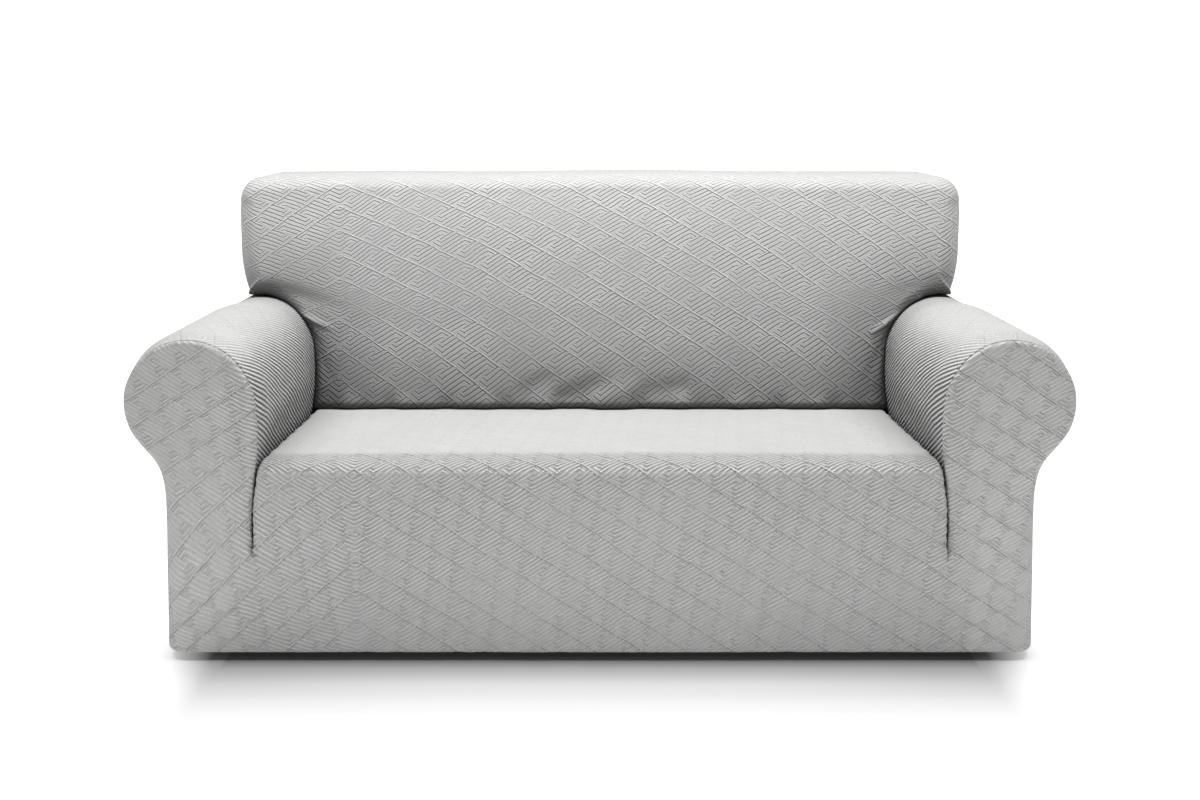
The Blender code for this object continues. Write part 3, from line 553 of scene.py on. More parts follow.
def jacquard(name, side_a, side_b, relief, shares, colour, sunk, fold_shade_power, line, groove=0.6,
             fading=None, flat_at=None, chart_a=(A_START, A_END)):
    """Stretch jacquard whose repeat has the sides A = (right, up) and B = (right, down), metres.

    relief is the depth of the pattern in metres, shares how much of it the ribs, the hooks and
    the long lines have, line the heights across a short line and groove how deep the groove of a
    long line is. colour is that of the ridges, sunk that of the deepest yarns, and
    fold_shade_power is the power of the painted shade that ambient occlusion puts into the colour
    in folds and corners. fading is an axis, two distances from the middle along it and what is
    left of the ribs past the second, where the knit lies flatter; flat_at is the same for the
    whole pattern, between two places on its axis. chart_a charts the lines along A.
    """
    material, tree, shader = new_material(name, {
        "Roughness": 0.92, "Specular IOR Level": 0.25, "Sheen Weight": 0.10, "Sheen Roughness": 0.5})
    body = add(tree, "TexCoord").outputs["Object"]
    place = add(tree, "UVMap", uv_map="flat_cloth")
    for size, wave in DRIFTS:
        drift = add(tree, "TexNoise", body, None, 1 / size, 1.0, 0.5).outputs["Color"]
        drift = add(tree, "VectorMath SUBTRACT", drift, (0.5, 0.5, 0.5))
        drift = add(tree, "VectorMath MULTIPLY", drift, (2 * wave, 2 * wave, 0.0))
        place = add(tree, "VectorMath ADD", place, drift)
    a_x, a_y, b_x, b_y = *side_a, *side_b
    cell = a_x * b_y + a_y * b_x
    s = add(tree, "VectorMath DOT_PRODUCT", place, (b_y / cell, b_x / cell, 0.0))
    t = add(tree, "VectorMath DOT_PRODUCT", place, (a_y / cell, -a_x / cell, 0.0))
    s, t = s.outputs["Value"], t.outputs["Value"]
    long_a, long_b = np.hypot(*side_a), np.hypot(*side_b)
    pitch_t, pitch_s = cell / long_a, cell / long_b
    axes = add(tree, "SeparateXYZ", body).outputs
    rib_share = shares[0]
    if fading is not None:
        out = add(tree, "Math ABSOLUTE", axes[fading[0]])
        rib_share = add(tree, "MapRange", out, *fading[1:3], shares[0], fading[3])
    reach = SHORT_REACH * pitch_t / 6
    ribs = nearest_line(tree, t, s, *chart_a, pitch_t, long_a)
    hooks = nearest_line(tree, s, t, HOOK_START, HOOK_END, pitch_s, long_b)
    ribs = add(tree, "Mix", rib_share, None, line[-1], short_line(tree, ribs, reach, line),
               data_type="FLOAT")
    # hooks are added to the ribs, so the profile of a hook is cut off at its ground
    deepest = line[-1] if line[0] < line[-1] else HOOK_DIP
    hooks = short_line(tree, hooks, reach, [max(part - line[-1] + deepest, 0.0) for part in line])
    hooks = add(tree, "Math MULTIPLY", hooks, shares[1])
    longs = ridged_line(tree, *long_line(tree, s, t, pitch_s), LONG_REACH, groove)
    longs = add(tree, "Mix", shares[2], None, LEVEL, longs, data_type="FLOAT")
    height = add(tree, "Math ADD", ribs, hooks)
    height = add(tree, "Math ADD", height, longs)
    height = add(tree, "Math ADD", height, -LEVEL - deepest * shares[1], use_clamp=True)
    # the relief fades to 60 % in soft patches, and the tone shifts a little with them
    cloud = add(tree, "TexNoise", body, None, PATCHES, 2.0, 0.5)
    clear = add(tree, "MapRange", cloud, 0.36, 0.60, 0.60, 1.0)
    if flat_at is not None:
        lies = add(tree, "MapRange", axes[flat_at[0]], *flat_at[1:3], 1.0, flat_at[3])
        clear = add(tree, "Math MULTIPLY", clear, lies)
    height = add(tree, "Mix", clear, None, LEVEL - 0.1, height, data_type="FLOAT")
    grain = add(tree, "TexNoise", body, None, GRAIN, 2.0, 0.6)
    shades = [add(tree, "MapRange", cloud, 0.3, 0.7, 0.97, 1.03),
              add(tree, "MapRange", grain, 0.3, 0.7, 0.89, 1.11)]
    # painted shade: ambient occlusion darkens the colour in folds, corners and creases
    if fold_shade_power > 0:
        painted_fold_shade = add(tree, "AmbientOcclusion", None, FOLD_SHADE_REACH, samples=8).outputs["AO"]
        painted_fold_shade = add(tree, "Math POWER", painted_fold_shade, fold_shade_power)
        shades.append(add(tree, "MapRange", painted_fold_shade, 0.0, 1.0, FOLD_SHADE_LEAST, 1.0))
    loops = add(tree, "MapRange", grain, 0.35, 0.65, 0.45, 1.35)
    low = add(tree, "MapRange", height, 0.1, 0.75, 1.0, 0.0)
    # painted shade beside the slit with the seam's dark line, then painted shade on the ground of
    # pulled ribs
    for kind, part, least in (("seam_line_and_slit_shade", loops, SEAM_AND_SLIT_SHADE_LEAST), ("opened_ground_shade", low, GROUND_SHADE_LEAST)):
        shade_mask = add(tree, "Attribute", attribute_name=kind).outputs["Fac"]
        shade_mask = add(tree, "Math MULTIPLY", shade_mask, part)
        shades.append(add(tree, "MapRange", shade_mask, 0.0, 1.0, 1.0, least))
    tone = shades[0]
    for shade in shades[1:]:
        tone = add(tree, "Math MULTIPLY", tone, shade)
    base = add(tree, "Mix", height, None, None, None, None, None, linear(sunk), linear(colour),
               data_type="RGBA")
    shaded = add(tree, "VectorMath SCALE", base.outputs[2], None, None, tone)
    tree.links.new(shaded.outputs[0], shader.inputs["Base Color"])
    fine = add(tree, "Bump", 1.0, GRAIN_DEPTH, None, grain)
    bump = add(tree, "Bump", 1.0, relief, None, height, fine)
    tree.links.new(bump.outputs[0], shader.inputs["Normal"])
    print(f"{name}: repeat {long_a * 1000:.0f} x {long_b * 1000:.0f} mm, "
          f"ribs {pitch_t / 6 * 1000:.1f} mm")
    return material


print(f"a rib is {1000 * SHORT_REACH * 0.008:.1f} mm from its middle to its rim at a pitch of 8 mm")

# %% [markdown]
# ## The outline of an arm
#
# An arm's outline starts at the slit beside the seat, climbs its inner side, goes over the roll
# and down the outer side. The facing, the arm panel and the outside back all follow it, so it is
# worked out once. Its third column is how widely the facing is rounded over to the arm panel.

# %% Outline of the arm
FINE = 5                      # fine cells in a gap between two stations
INNER_CELLS = len(ARM_WALL["z"]) - 1 + len(ROLL_INNER)
TOP_CELLS = len(ROLL_TOP)
OUTER_CELLS = len(ROLL_OUTER) + 3 + len(SIDE_Z)


def base_x(z):
    """Half width of the base: BASE_HALF, plus the flare times the share of the way down."""
    return BASE_HALF + HEM_FLARE * np.clip((0.32 - np.asarray(z)) / 0.32, 0, 1)


def round_roll(angle, key):
    """Value of ROLL_TABLE at an angle round the roll, between its stations."""
    return np.interp(-np.asarray(angle), -np.array(ROLL_TABLE["angle"]), ROLL_TABLE[key])


def arm_wall_x(z):
    """Distance of the arm's inner side from the middle at height z."""
    return read(z, ARM_WALL["z"], ARM_WALL["x"])


def roll_point(angle, radius=ROLL_R):
    """Centre of the roll plus radius times (cos, sin) of the angle in degrees."""
    a = np.radians(angle)
    return np.stack((ROLL_X + radius * np.cos(a), ROLL_Z + radius * np.sin(a)), axis=-1)


def bezier(p0, p1, p2, p3, t):
    """Cubic curve: the four points weighted (1-t)^3, 3(1-t)^2 t, 3(1-t)t^2 and t^3."""
    t = np.asarray(t)[:, None]
    p0, p1, p2, p3 = (np.asarray(p) for p in (p0, p1, p2, p3))
    return (1 - t) ** 3 * p0 + 3 * (1 - t) ** 2 * t * p1 + 3 * (1 - t) * t * t * p2 + t ** 3 * p3


def arm_stations():
    """Stations (x, z, rounding, rear end) of the right arm, from the slit to the hem outside."""
    wall = np.stack((ARM_WALL["x"], ARM_WALL["z"]), axis=1)
    outer = roll_point(ROLL_OUTER)
    turn = np.radians(ROLL_OUTER[-1])
    tangent = np.array((np.sin(turn), -np.cos(turn)))
    neck = bezier(outer[-1], outer[-1] + 0.036 * tangent, (BASE_HALF, NECK_Z + 0.026),
                  (BASE_HALF, NECK_Z), (1 / 3, 2 / 3, 1.0))
    heights = np.array((*SIDE_Z, *LOW_Z, HEM_ROLL + CLOTH / 2))
    side = np.stack((base_x(heights), heights), axis=1)
    points = np.concatenate((wall, roll_point(ROLL_INNER), roll_point(ROLL_TOP), outer, neck, side))
    outside = np.arange(len(points)) > INNER_CELLS + TOP_CELLS
    wide = smooth((0.44 - points[:, 1]) / 0.16) * outside
    rounding = FACING_EDGE + (BASE_CORNER - FACING_EDGE) * wide
    inside = np.arange(len(points)) <= INNER_CELLS
    rounding = rounding + (INNER_EDGE - FACING_EDGE) * smooth((0.57 - points[:, 1]) / 0.09) * inside
    angles = np.concatenate((np.full(len(wall), 180.0), ROLL_INNER, ROLL_TOP))
    end = np.full(len(points), SIDE_SEAM_Y)
    end[:len(angles)] = round_roll(angles, "end")
    return np.column_stack((points, rounding, end))


STATIONS = arm_stations()
PROFILE = refine(STATIONS, FINE)
PROFILE[:, 3] = np.minimum(PROFILE[:, 3], SIDE_SEAM_Y) - SEAM
print(f"outline of an arm: {run(PROFILE[:, :2])[-1]:.3f} m in {len(PROFILE) - 1} cells")


# %% The slit, the tuck and the hem
def slit_edge(z, side):
    """Edge of the slit at height z: side -1 is the seat's edge, +1 the facing's."""
    middle = SLIT_X - 0.0085 * smooth((z - 0.29) / 0.09)
    gape = 0.0022 * smooth((z - SLIT_Z) / 0.035) + 0.0013 * smooth((z - 0.28) / 0.09)
    ragged = 0.0009 * np.sin(310.0 * z + 1.3 * side) * smooth((z - SLIT_Z) / 0.03)
    return middle + side * gape + ragged


def painted_slit_shade(distance, z):
    """How dark the painted shade beside the slit is: a narrow bell beside it, up to the seat's edge.
    """
    uneven_pull = 0.8 + 0.2 * np.sin(420.0 * z + 1.5 * np.sin(95.0 * z))
    return uneven_pull * np.exp(-(distance / 0.0056) ** 2) * smooth((SEAT_Z - 0.01 - z) / 0.03)


def tuck_bottom(share):
    """Bottom of the tuck between arm and seat, (y, z), along its bend at the front."""
    return bezier((FRONT_Y + 0.012, SLIT_Z + 0.012), (-0.400, 0.260), (-0.385, 0.325),
                  (-0.330, TUCK_Z), share)


def hem_rows(edge, inward):
    """Rows that turn the cloth under: a quarter of a circle, then a flat strip under the base."""
    rows = []
    for turn in quarter(4)[1:]:
        rows.append((HEM_ROLL * (1 - np.cos(turn)), HEM_ROLL * (1 - np.sin(turn))))
    rows.append((HEM_TUCK, 0.0))
    shift, height = np.array(rows).T[:, :, None]
    grid = np.repeat(edge[None], len(rows), axis=0)
    grid[..., :2] += inward * shift[..., None]
    grid[..., 2] = height + CLOTH / 2
    return grid


def turn_under(count, turn, front):
    """Directions (x, y) in which a hem goes under: front (+-1) in y, round to x at its ends."""
    inward = np.tile((0.0, front), (count, 1))
    inward[-len(turn):] = np.stack((-np.sin(turn), front * np.cos(turn)), axis=1)
    inward[:len(turn)] = inward[-len(turn):][::-1] * (-1, 1)
    return inward


def crinkle(along, z):
    """Fine waves that the elastic in the hem draws in: they fade within 2 cm above it."""
    wave = np.sin(370.0 * along + 2.0 * np.sin(23.0 * along)) + 0.6 * np.sin(211.0 * along + 1.0)
    return 0.0005 * wave * np.exp(-(z / 0.014) ** 2)


print(f"slit at mid height: {1000 * (slit_edge(0.3, 1) - slit_edge(0.3, -1)):.1f} mm wide")

# %% [markdown]
# ## Seat, front skirt and arm facings
#
# One cloth makes the front: a tongue runs up from the skirt, over the seat's front edge and back
# into the crease under the back. Left and right of it two slits let the cloth part into the arm
# facings, as on the real cover, where the tongue goes between seat and arm.

# %% Facings
SEAM_SHOWS_Z = 0.535          # above this height the facing's seam lies in a valley
GROUND_SHADE_TOP_Z = 0.605          # up to this height the ribs inside an arm are pulled apart, and their darker ground is painted shade
GROUND_SHADE_LOW_Z = 0.36           # on the facing's edge they are so only above this one


def seam_valley(distance):
    """How far the cloth lies in at a distance from a turned seam: 2.2 mm times a narrow bell."""
    return 0.0022 * np.exp(-(distance / 0.0024) ** 2)


def stitched(distance, along, z):
    """How dark the facing's seam line is: a narrow, ragged line over the roll."""
    ragged = 0.75 + 0.25 * np.sin(260.0 * along + 2.0 * np.sin(90.0 * along))
    return ragged * np.exp(-(distance / 0.0030) ** 2) * smooth((z - SEAM_SHOWS_Z) / 0.03)


def rounded_rim(outline, rounding, steps, valley=1.0):
    """Round the edge of an outline over in a quarter circle that ends in the valley of a seam.

    Returns the inset outline, the rows of the edge, their flat places and their turns in radians.
    """
    normals = outward(outline)
    normals[0], normals[-1] = (-1.0, 0.0), (1.0, 0.0)
    inset = outline - normals * rounding
    turn = quarter(steps)[:, None, None]
    seam = seam_valley((np.pi / 2 - turn) * rounding) * valley
    rows = outline - normals * (rounding * (1 - np.sin(turn)) + seam)
    return inset, rows, inset + normals * rounding * turn, turn


def fill(inset, rows):
    """Coons patch inside an outline, whose first and last rows are its left and right side."""
    left, right = inset[:rows], inset[-rows:][::-1]
    top = inset[rows - 1:len(inset) - rows + 1]
    return coons(np.linspace(left[0], right[0], len(top)), top, left, right)


def add_facing(cloth, side):
    """Front of one arm and the rounded edge round it; returns its bottom row and flat places."""
    stations = STATIONS[:INNER_CELLS + TOP_CELLS + OUTER_CELLS + 1, :3].copy()
    low = len(INNER_FADE)
    stations[:low, 0] = slit_edge(stations[:low, 1], 1)
    stations[:low, 2] *= INNER_FADE
    fine = refine(stations, FINE)
    outline, rounding = fine[:, :2], fine[:, 2:]
    valley = smooth((outline[:, 1:] - SEAM_SHOWS_Z) / 0.04)
    inset, rounded, flat, turn = rounded_rim(outline, rounding, 6, valley)
    inner = INNER_CELLS * FINE
    plan = fill(inset, inner + 1)
    sewn = stitched((np.pi / 2 - turn) * rounding, run(outline)[:, None], outline[:, 1:])[..., 0]
    grid = lift(plan, FRONT_Y)
    ring = lift(rounded, FRONT_Y + (rounding * (1 - np.cos(turn)))[..., 0])
    for part in (grid, ring, plan, flat):
        part[..., 0] *= side
    from_slit = np.abs(plan[..., 0]) - slit_edge(plan[..., 1], 1)
    cloth.add(grid, *skirt_place(plan[..., 0], plan[..., 1]),
              painted_slit_shade(from_slit, plan[..., 1]))
    # painted shade beside the slit on the facing's edge, joined to the seam's dark line
    by_slit = painted_slit_shade((np.pi / 2 - turn)[..., 0] * rounding[:, 0], outline[:, 1])
    inner_side = np.arange(len(outline)) <= inner
    # painted shade on the facing's inner edge, as the darker ground between pulled ribs
    opened_ground_shade = (smooth((GROUND_SHADE_TOP_Z - outline[:, 1]) / 0.07)
              * smooth((outline[:, 1] - GROUND_SHADE_LOW_Z) / 0.04))
    opened_ground_shade = 0.8 * opened_ground_shade * inner_side * smooth(turn[..., 0] / 1.2)
    cloth.add(ring, *skirt_place(flat[..., 0], flat[..., 1]),
              np.maximum(sewn, by_slit * inner_side), opened_ground_shade)
    return np.concatenate((grid[0], ring[1:, -1])), np.concatenate((plan[0], flat[1:, -1]))[:, 0]


def front_y(x, z):
    """The front: FRONT_Y less its soft creases, its unevenness and the crinkle of the hem."""
    free = smooth((0.66 - np.abs(x)) / 0.08) * smooth((0.345 - z) / 0.06)
    return (FRONT_Y - creases(x, z, SKIRT_CREASES) * smooth(z / 0.02) - crinkle(x, z)
            - uneven(x, z, 0.0009) * free)


def seat_height(x, y):
    """The seat: SEAT_Z, less a smooth drop to the back, plus a crown and small unevenness."""
    way = (y - FRONT_Y) / (CREASE_Y - 0.02 - FRONT_Y)
    crown = SEAT_CROWN * (1 - (np.abs(x) / 0.67) ** 2.5) * np.sin(np.pi * np.clip(way, 0, 1))
    soft = uneven(x, y, 0.0010) * np.sin(np.pi * np.clip(way, 0, 1))
    return SEAT_Z - SEAT_DROP * smooth(way) + crown + soft


print(f"seat at its front edge: {seat_height(0.0, FRONT_Y + SEAT_SLOPE):.3f} m high")

# %% Seat and skirt
FACE_ROWS, TURN_ROWS, DECK_ROWS = 29, 12, 60   # rows up the seat's face, round its edge and back
SEAT_COLUMNS = 229
SKIRT_ROWS = 34


def tongue_rows(face, turned_over, deck):
    """One value for each row of the tongue: up the seat's face, round its edge and back."""
    parts = zip((face, turned_over, deck), (FACE_ROWS, TURN_ROWS, DECK_ROWS))
    return np.concatenate([np.broadcast_to(part, count) for part, count in parts])


def build_seat_front(material):
    """The tongue over the seat, its edges in the tuck, both facings and the skirt below."""
    cloth = Cloth()
    face_z = np.linspace(SLIT_Z, SEAT_Z - SEAT_EDGE, FACE_ROWS)
    turn = quarter(TURN_ROWS)[1:]
    deck_y = np.linspace(FRONT_Y + SEAT_SLOPE, TUCK_Y - 0.001, DECK_ROWS + 1)[1:]
    edge_y = tongue_rows(FRONT_Y, FRONT_Y + SEAT_SLOPE * (1 - np.cos(turn)), deck_y)
    edge_z = tongue_rows(face_z, SEAT_Z - SEAT_EDGE * (1 - np.sin(turn)), SEAT_Z)
    tilt = np.arctan2(SEAT_SLOPE * np.sin(turn), SEAT_EDGE * np.cos(turn))
    normal_y = tongue_rows(-1.0, -np.cos(tilt), 0.0)
    normal_z = tongue_rows(0.0, np.sin(tilt), 1.0)
    face_round = np.interp(face_z, SEAT_FACE["z"], SEAT_FACE["round"])
    side_round = tongue_rows(face_round, SEAT_ROUND, SEAT_ROUND)
    half = slit_edge(edge_z, -1)
    wavy = 0.0016 * np.sin(95.0 * deck_y + 0.7) + 0.0010 * np.sin(171.0 * deck_y)
    half[FACE_ROWS:] = read(edge_y[FACE_ROWS:], SEAT_SIDE["y"], SEAT_SIDE["x"])
    half[-DECK_ROWS:] += (wavy - 0.0012) * smooth((deck_y + 0.39) / 0.05)
    half[FACE_ROWS:-DECK_ROWS] += (half[FACE_ROWS - 1] - half[FACE_ROWS]) * np.cos(turn)
    share = np.linspace(-1, 1, SEAT_COLUMNS)
    x = (half - side_round)[:, None] * share
    y = edge_y[:, None] + 0 * x
    y[:FACE_ROWS] = front_y(x[:FACE_ROWS], edge_z[:FACE_ROWS, None] + 0 * x[:FACE_ROWS])
    z = edge_z[:, None] + (seat_height(x, y) - SEAT_Z) * (edge_y > FRONT_Y)[:, None]
    tongue = np.stack((x, y, z), axis=-1)
    v = SLIT_Z + run(tongue)
    v_middle = v[:, v.shape[1] // 2]
    # painted shade beside the slit, on the seat's face only
    seam_line_and_slit_shade = painted_slit_shade(half[:, None] - np.abs(x), edge_z[:, None])
    seam_line_and_slit_shade[edge_y > FRONT_Y + 0.01] = 0.0
    # the ribs part where the cloth turns over the seat's front edge; their darker ground there is
    # painted shade of the relief
    opened_ground_shade = 0.8 * smooth((-0.345 - edge_y) / 0.030) * smooth((edge_z - 0.369) / 0.003)
    cloth.add(tongue, *skirt_place(x, v_middle[:, None], z), seam_line_and_slit_shade, opened_ground_shade[:, None])
    # the edges of the tongue, rounded over and down to the bottom of the tuck
    station = tongue_rows(np.interp(face_z, SEAT_FACE["z"], np.arange(5)),
                          4 + turn / np.radians(30.0),
                          np.interp(deck_y, (FRONT_Y + SEAT_SLOPE, -0.330), (7, 8)))
    bottom = tuck_bottom(station / 8)
    for side in (-1, 1):
        edge = tongue[:, 0 if side < 0 else -1]
        angle = quarter(4)[:, None]
        ring = np.repeat(edge[None], len(angle), axis=0)
        ring[..., 0] += side * side_round * np.sin(angle)
        ring[..., 1] -= normal_y * side_round * (1 - np.cos(angle))
        ring[..., 2] -= normal_z * side_round * (1 - np.cos(angle))
        low = ring[-1].copy()
        low[:, 2] = bottom[:, 1]
        low[station < 8, 1] = bottom[station < 8, 0]
        reach = arm_wall_x(low[:, 2]) - NEAR - TUCK_SPACE
        limit = half + 1.5 * TUCK_SPACE + 0.02 * np.clip(station - 2, 0, 1)
        low[:, 0] = side * np.minimum(reach, limit)
        down = np.linspace(0, 1, 8)[1:, None, None]
        ring = np.concatenate((ring, ring[-1] + (low - ring[-1]) * down))
        ring[1:, 0] = edge[0]
        flat_x = edge[:, 0] + side * run(ring)
        cloth.add(ring, *skirt_place(flat_x, v_middle, edge[:, 2]))
    left, left_u = add_facing(cloth, -1)
    right, right_u = add_facing(cloth, 1)
    # the skirt below the slits, round both front corners
    top_row = np.concatenate((left[::-1], tongue[0, 1:-1], right))
    top_u = np.concatenate((left_u[::-1], x[0, 1:-1], right_u))
    inward = turn_under(len(top_row), quarter(6)[1:], 1.0)
    height = np.linspace(SLIT_Z, HEM_ROLL + CLOTH / 2, SKIRT_ROWS)[:, None]
    skirt = np.repeat(top_row[None], len(height), axis=0)
    skirt[..., 2] = height
    widen = (base_x(height) - base_x(SLIT_Z)) * smooth((np.abs(top_row[:, 0]) - 0.3) / 0.5)
    skirt[..., 0] += np.sign(top_row[:, 0]) * widen
    front = inward[:, 1] == 1.0
    skirt[1:, front, 1] = front_y(skirt[1:, front, 0], skirt[1:, front, 2])
    skirt = np.concatenate((skirt, hem_rows(skirt[-1], inward)))
    cloth.add(skirt, *skirt_place(top_u, SLIT_Z - run(skirt)))
    return cloth.make("seat_and_skirt", material)


# %% [markdown]
# ## The arms
#
# Each arm panel starts in the tuck beside the seat, climbs the inner side, goes over the roll and
# hangs down to the hem. Behind the facing the roll is a little fuller, and it slims down again
# where it meets the back.

# %% Arms
ARM_FINE = 8                  # fine columns in a gap between two of ARM_SHARES


def build_arm(name, side, material):
    """One arm panel as rows along the profile and columns from the facing to the rear."""
    at = np.linspace(0, len(ARM_SHARES) - 1, ARM_FINE * (len(ARM_SHARES) - 1) + 1)
    share = np.interp(at, np.arange(len(ARM_SHARES)), ARM_SHARES)
    start = FRONT_Y + PROFILE[:, 2:3] + SEAM
    y = start + (PROFILE[:, 3:] - start) * share
    x = PROFILE[:, 0:1] + 0 * y
    z = PROFILE[:, 1:2] + 0 * y
    walls = (len(ARM_WALL["z"]) - 1) * FINE + 1
    floor = tuck_bottom(np.linspace(0, 1, 60))
    floor_z = np.interp(y[:walls], floor[:, 0], floor[:, 1])
    floor_z -= 0.008 * np.clip(1 - (y[:walls] - start[:walls]) / 0.010, 0, 1)
    rise = (z[:walls] - ARM_WALL["z"][0]) / (ARM_WALL["z"][-1] - ARM_WALL["z"][0])
    z[:walls] = floor_z + rise * (ARM_WALL["z"][-1] - floor_z)
    x[:walls] = arm_wall_x(z[:walls])
    over_x, over_z = x - ROLL_X, z - ROLL_Z
    # the roll is fullest behind its seam and slims down towards the back
    full = smooth((y - start) / 0.05) * smooth((0.09 - y) / 0.16) * smooth((z - 0.40) / 0.08)
    full *= ROLL_SWELL / np.hypot(over_x, over_z)
    x += over_x * full
    z += over_z * full
    past_top = np.arange(len(PROFILE)) - (INNER_CELLS + TOP_CELLS) * FINE
    outside = smooth(past_top / (4 * FINE))[:, None]
    swell = (creases(y, z, SIDE_CREASES) + crinkle(y, z)) * smooth(z / 0.02) * outside
    off_seams = smooth((y - start) / 0.08) * smooth((0.39 - y) / 0.08)
    swell += uneven(y + side, z, 0.0009) * outside * off_seams
    swell -= seam_valley(y - start) * smooth((z - SEAM_SHOWS_Z) / 0.04)
    swell -= seam_valley(SIDE_SEAM_Y - y)
    normals = outward(PROFILE[:, :2])
    x += normals[:, :1] * swell
    z += normals[:, 1:] * swell
    grid = np.stack((x, y, z), axis=-1)
    inward = np.tile((-1.0, 0.0), (grid.shape[1], 1))
    grid = np.concatenate((grid, hem_rows(grid[-1], inward)))
    u = ARM_EDGE_X - (grid[..., 1] - FRONT_Y)
    v = grid[0, :, 2] + run(grid)
    if side < 0:
        u = u + 2 * SKIRT_MIRROR_X
    grid[..., 0] *= side
    cloth = Cloth()
    sewn = stitched(y - start, run(PROFILE[:, :2])[:, None], PROFILE[:, 1:2])
    inner_side = (np.arange(len(PROFILE)) < (INNER_CELLS + 3) * FINE)[:, None]
    # painted shade on the arm's inner side, as the darker ground between pulled ribs
    opened_ground_shade = smooth((GROUND_SHADE_TOP_Z - PROFILE[:, 1:2]) / 0.07) * inner_side + 0 * sewn
    sewn, opened_ground_shade = (np.concatenate((part, np.zeros((len(grid) - len(part), part.shape[1]))))
                    for part in (sewn, opened_ground_shade))
    cloth.add(grid, u, v, sewn, opened_ground_shade)
    return cloth.make(name, material)


# %% [markdown]
# ## The inside back
#
# This panel covers the face, the top and the sides of the back. Its border follows the seat, the
# inner side of the arm, the roll, and the free edge up to the top corner. There the cloth turns
# over in a quarter of an ellipse and runs back to the side seam or into the tuck.

# %% Inside back
COLUMNS = 10                  # fine cells in each of the 24 gaps across the back
ACROSS = 24
ROWS = 7                      # fine cells in each gap up its sides
SIDE_FINENESS = 0.72          # share by which the columns lie closer near the arms
PULL_TAPER = 0.8              # share of its depth that a pull loses on its way


def bent(stations, cells, corners):
    """Fair curve in pieces, which meet at the corner stations without being rounded there."""
    ends = [0, *corners, len(stations) - 1]
    parts = [refine(stations[a:b + 1], cells[a:b])[:-1] for a, b in zip(ends, ends[1:])]
    return np.vstack(parts + [stations[-1:]])


def top_height(x):
    """Top edge: TOP_Z plus a low arch and a slight wave."""
    s = x / (BACK_HALF - TOP_CORNER)
    return TOP_Z + 0.0030 * (1 - s * s) + 0.0012 * np.sin(7.0 * s + 0.8) * (1 - s ** 4)


def top_corner():
    """Stations (x, z) at 30 and 60 degrees round the right corner of the top."""
    turn = np.radians((30.0, 60.0))
    return np.stack((BACK_HALF - TOP_CORNER * (1 - np.cos(turn)),
                     TOP_Z - TOP_CORNER * (1 - np.sin(turn))), axis=1)


def round_top(points):
    """Put the outline of the top exactly on its arch and its two quarter circles."""
    flat_half = BACK_HALF - TOP_CORNER
    over = np.abs(points[:, 0]) - flat_half
    high = points[:, 1] > TOP_Z - TOP_CORNER
    arch = top_height(np.clip(points[:, 0], -flat_half, flat_half))
    turn = np.arctan2(points[:, 1] - TOP_Z + TOP_CORNER, over)
    corner = high & (over > 0)
    points[:, 1] = np.where(high & (over <= 0), arch, points[:, 1])
    points[corner, 0] = (np.sign(points[:, 0]) * (flat_half + TOP_CORNER * np.cos(turn)))[corner]
    points[corner, 1] = (TOP_Z - TOP_CORNER + TOP_CORNER * np.sin(turn))[corner]
    return points


def back_y(x, z):
    """Face of the back: leaning, less a low crown, its pulls, dents and unevenness."""
    lean = CREASE_Y - 0.014 + BACK_LEAN * (z - 0.40)
    crown = 0.016 * (1 - (x / 0.8) ** 2) * np.sin(np.pi * np.clip((z - 0.36) / 0.56, 0, 1) ** 2)
    tucked = 0.0022 * np.sin(41.0 * x + 0.5) + 0.0015 * np.sin(97.0 * x + 2.0)
    return (lean - crown - creases(x, z, PULLS, PULL_TAPER) - creases(x, z, DENTS)
            - uneven(x, z, 0.0012) - tucked * np.exp(-((z - 0.385) / 0.022) ** 2))


def back_side():
    """Right border: columns x, z, aim of the inset in degrees, inset, depth, end of the cloth."""
    crease_z = SEAT_Z - SEAT_DROP + NEAR + 0.0004
    beside = NEAR + 1.4 * TUCK_SPACE
    first = (arm_wall_x(crease_z) - beside, crease_z, 135.0, 0.0225, 0.014, TUCK_Y)
    wall = [(x - beside, z, 180.0, 0.016, 0.014, TUCK_Y)
            for x, z in zip(ARM_WALL["x"][4:], ARM_WALL["z"][4:])]
    angle = np.array(ROLL_INNER + ROLL_TOP[:4] + (WING_ANGLE,))
    radius = ROLL_R + NEAR + np.interp(angle, (64, 71), (0.0040, 0.0008))
    tables = [round_roll(angle, key) for key in ("aim", "inset", "depth")]
    end = np.minimum(round_roll(angle, "end"), SIDE_SEAM_Y - 0.0015)
    contact = np.column_stack((roll_point(angle, radius), *tables, end))
    wing = np.column_stack((WING["x"], WING["z"], WING["aim"], WING["inset"], WING["depth"],
                            np.full(5, SIDE_SEAM_Y - SEAM)))
    corner = np.column_stack((top_corner(), (210.0, 240.0), (0.044, 0.034), (0.078, 0.064),
                              np.full(2, SIDE_SEAM_Y - SEAM)))
    return np.vstack((first, wall, contact, wing, corner)), 3 + len(angle)


def spread(even):
    """Places -1 to 1 across the back: the running sum of gaps that narrow towards both ends."""
    way = np.linspace(0.0, 1.0, 241)
    gap = 1.0 - SIDE_FINENESS * smooth((way - 0.22) / 0.35)
    place = np.concatenate(((0.0,), np.cumsum(gap[1:] + gap[:-1])))
    return np.sign(even) * np.interp(np.abs(even), way, place / place[-1])


def ground_shade_by_arm(x, z):
    """Stretch of the knit beside an arm, whose darker ground is painted shade of the corner:
    0.7, fading over 4.5 cm inwards and above the roll.
    """
    inside = np.maximum(0.655 - np.abs(x), 0.0)
    return 0.7 * np.exp(-(inside / 0.045) ** 2) * smooth((0.58 - z) / 0.06)


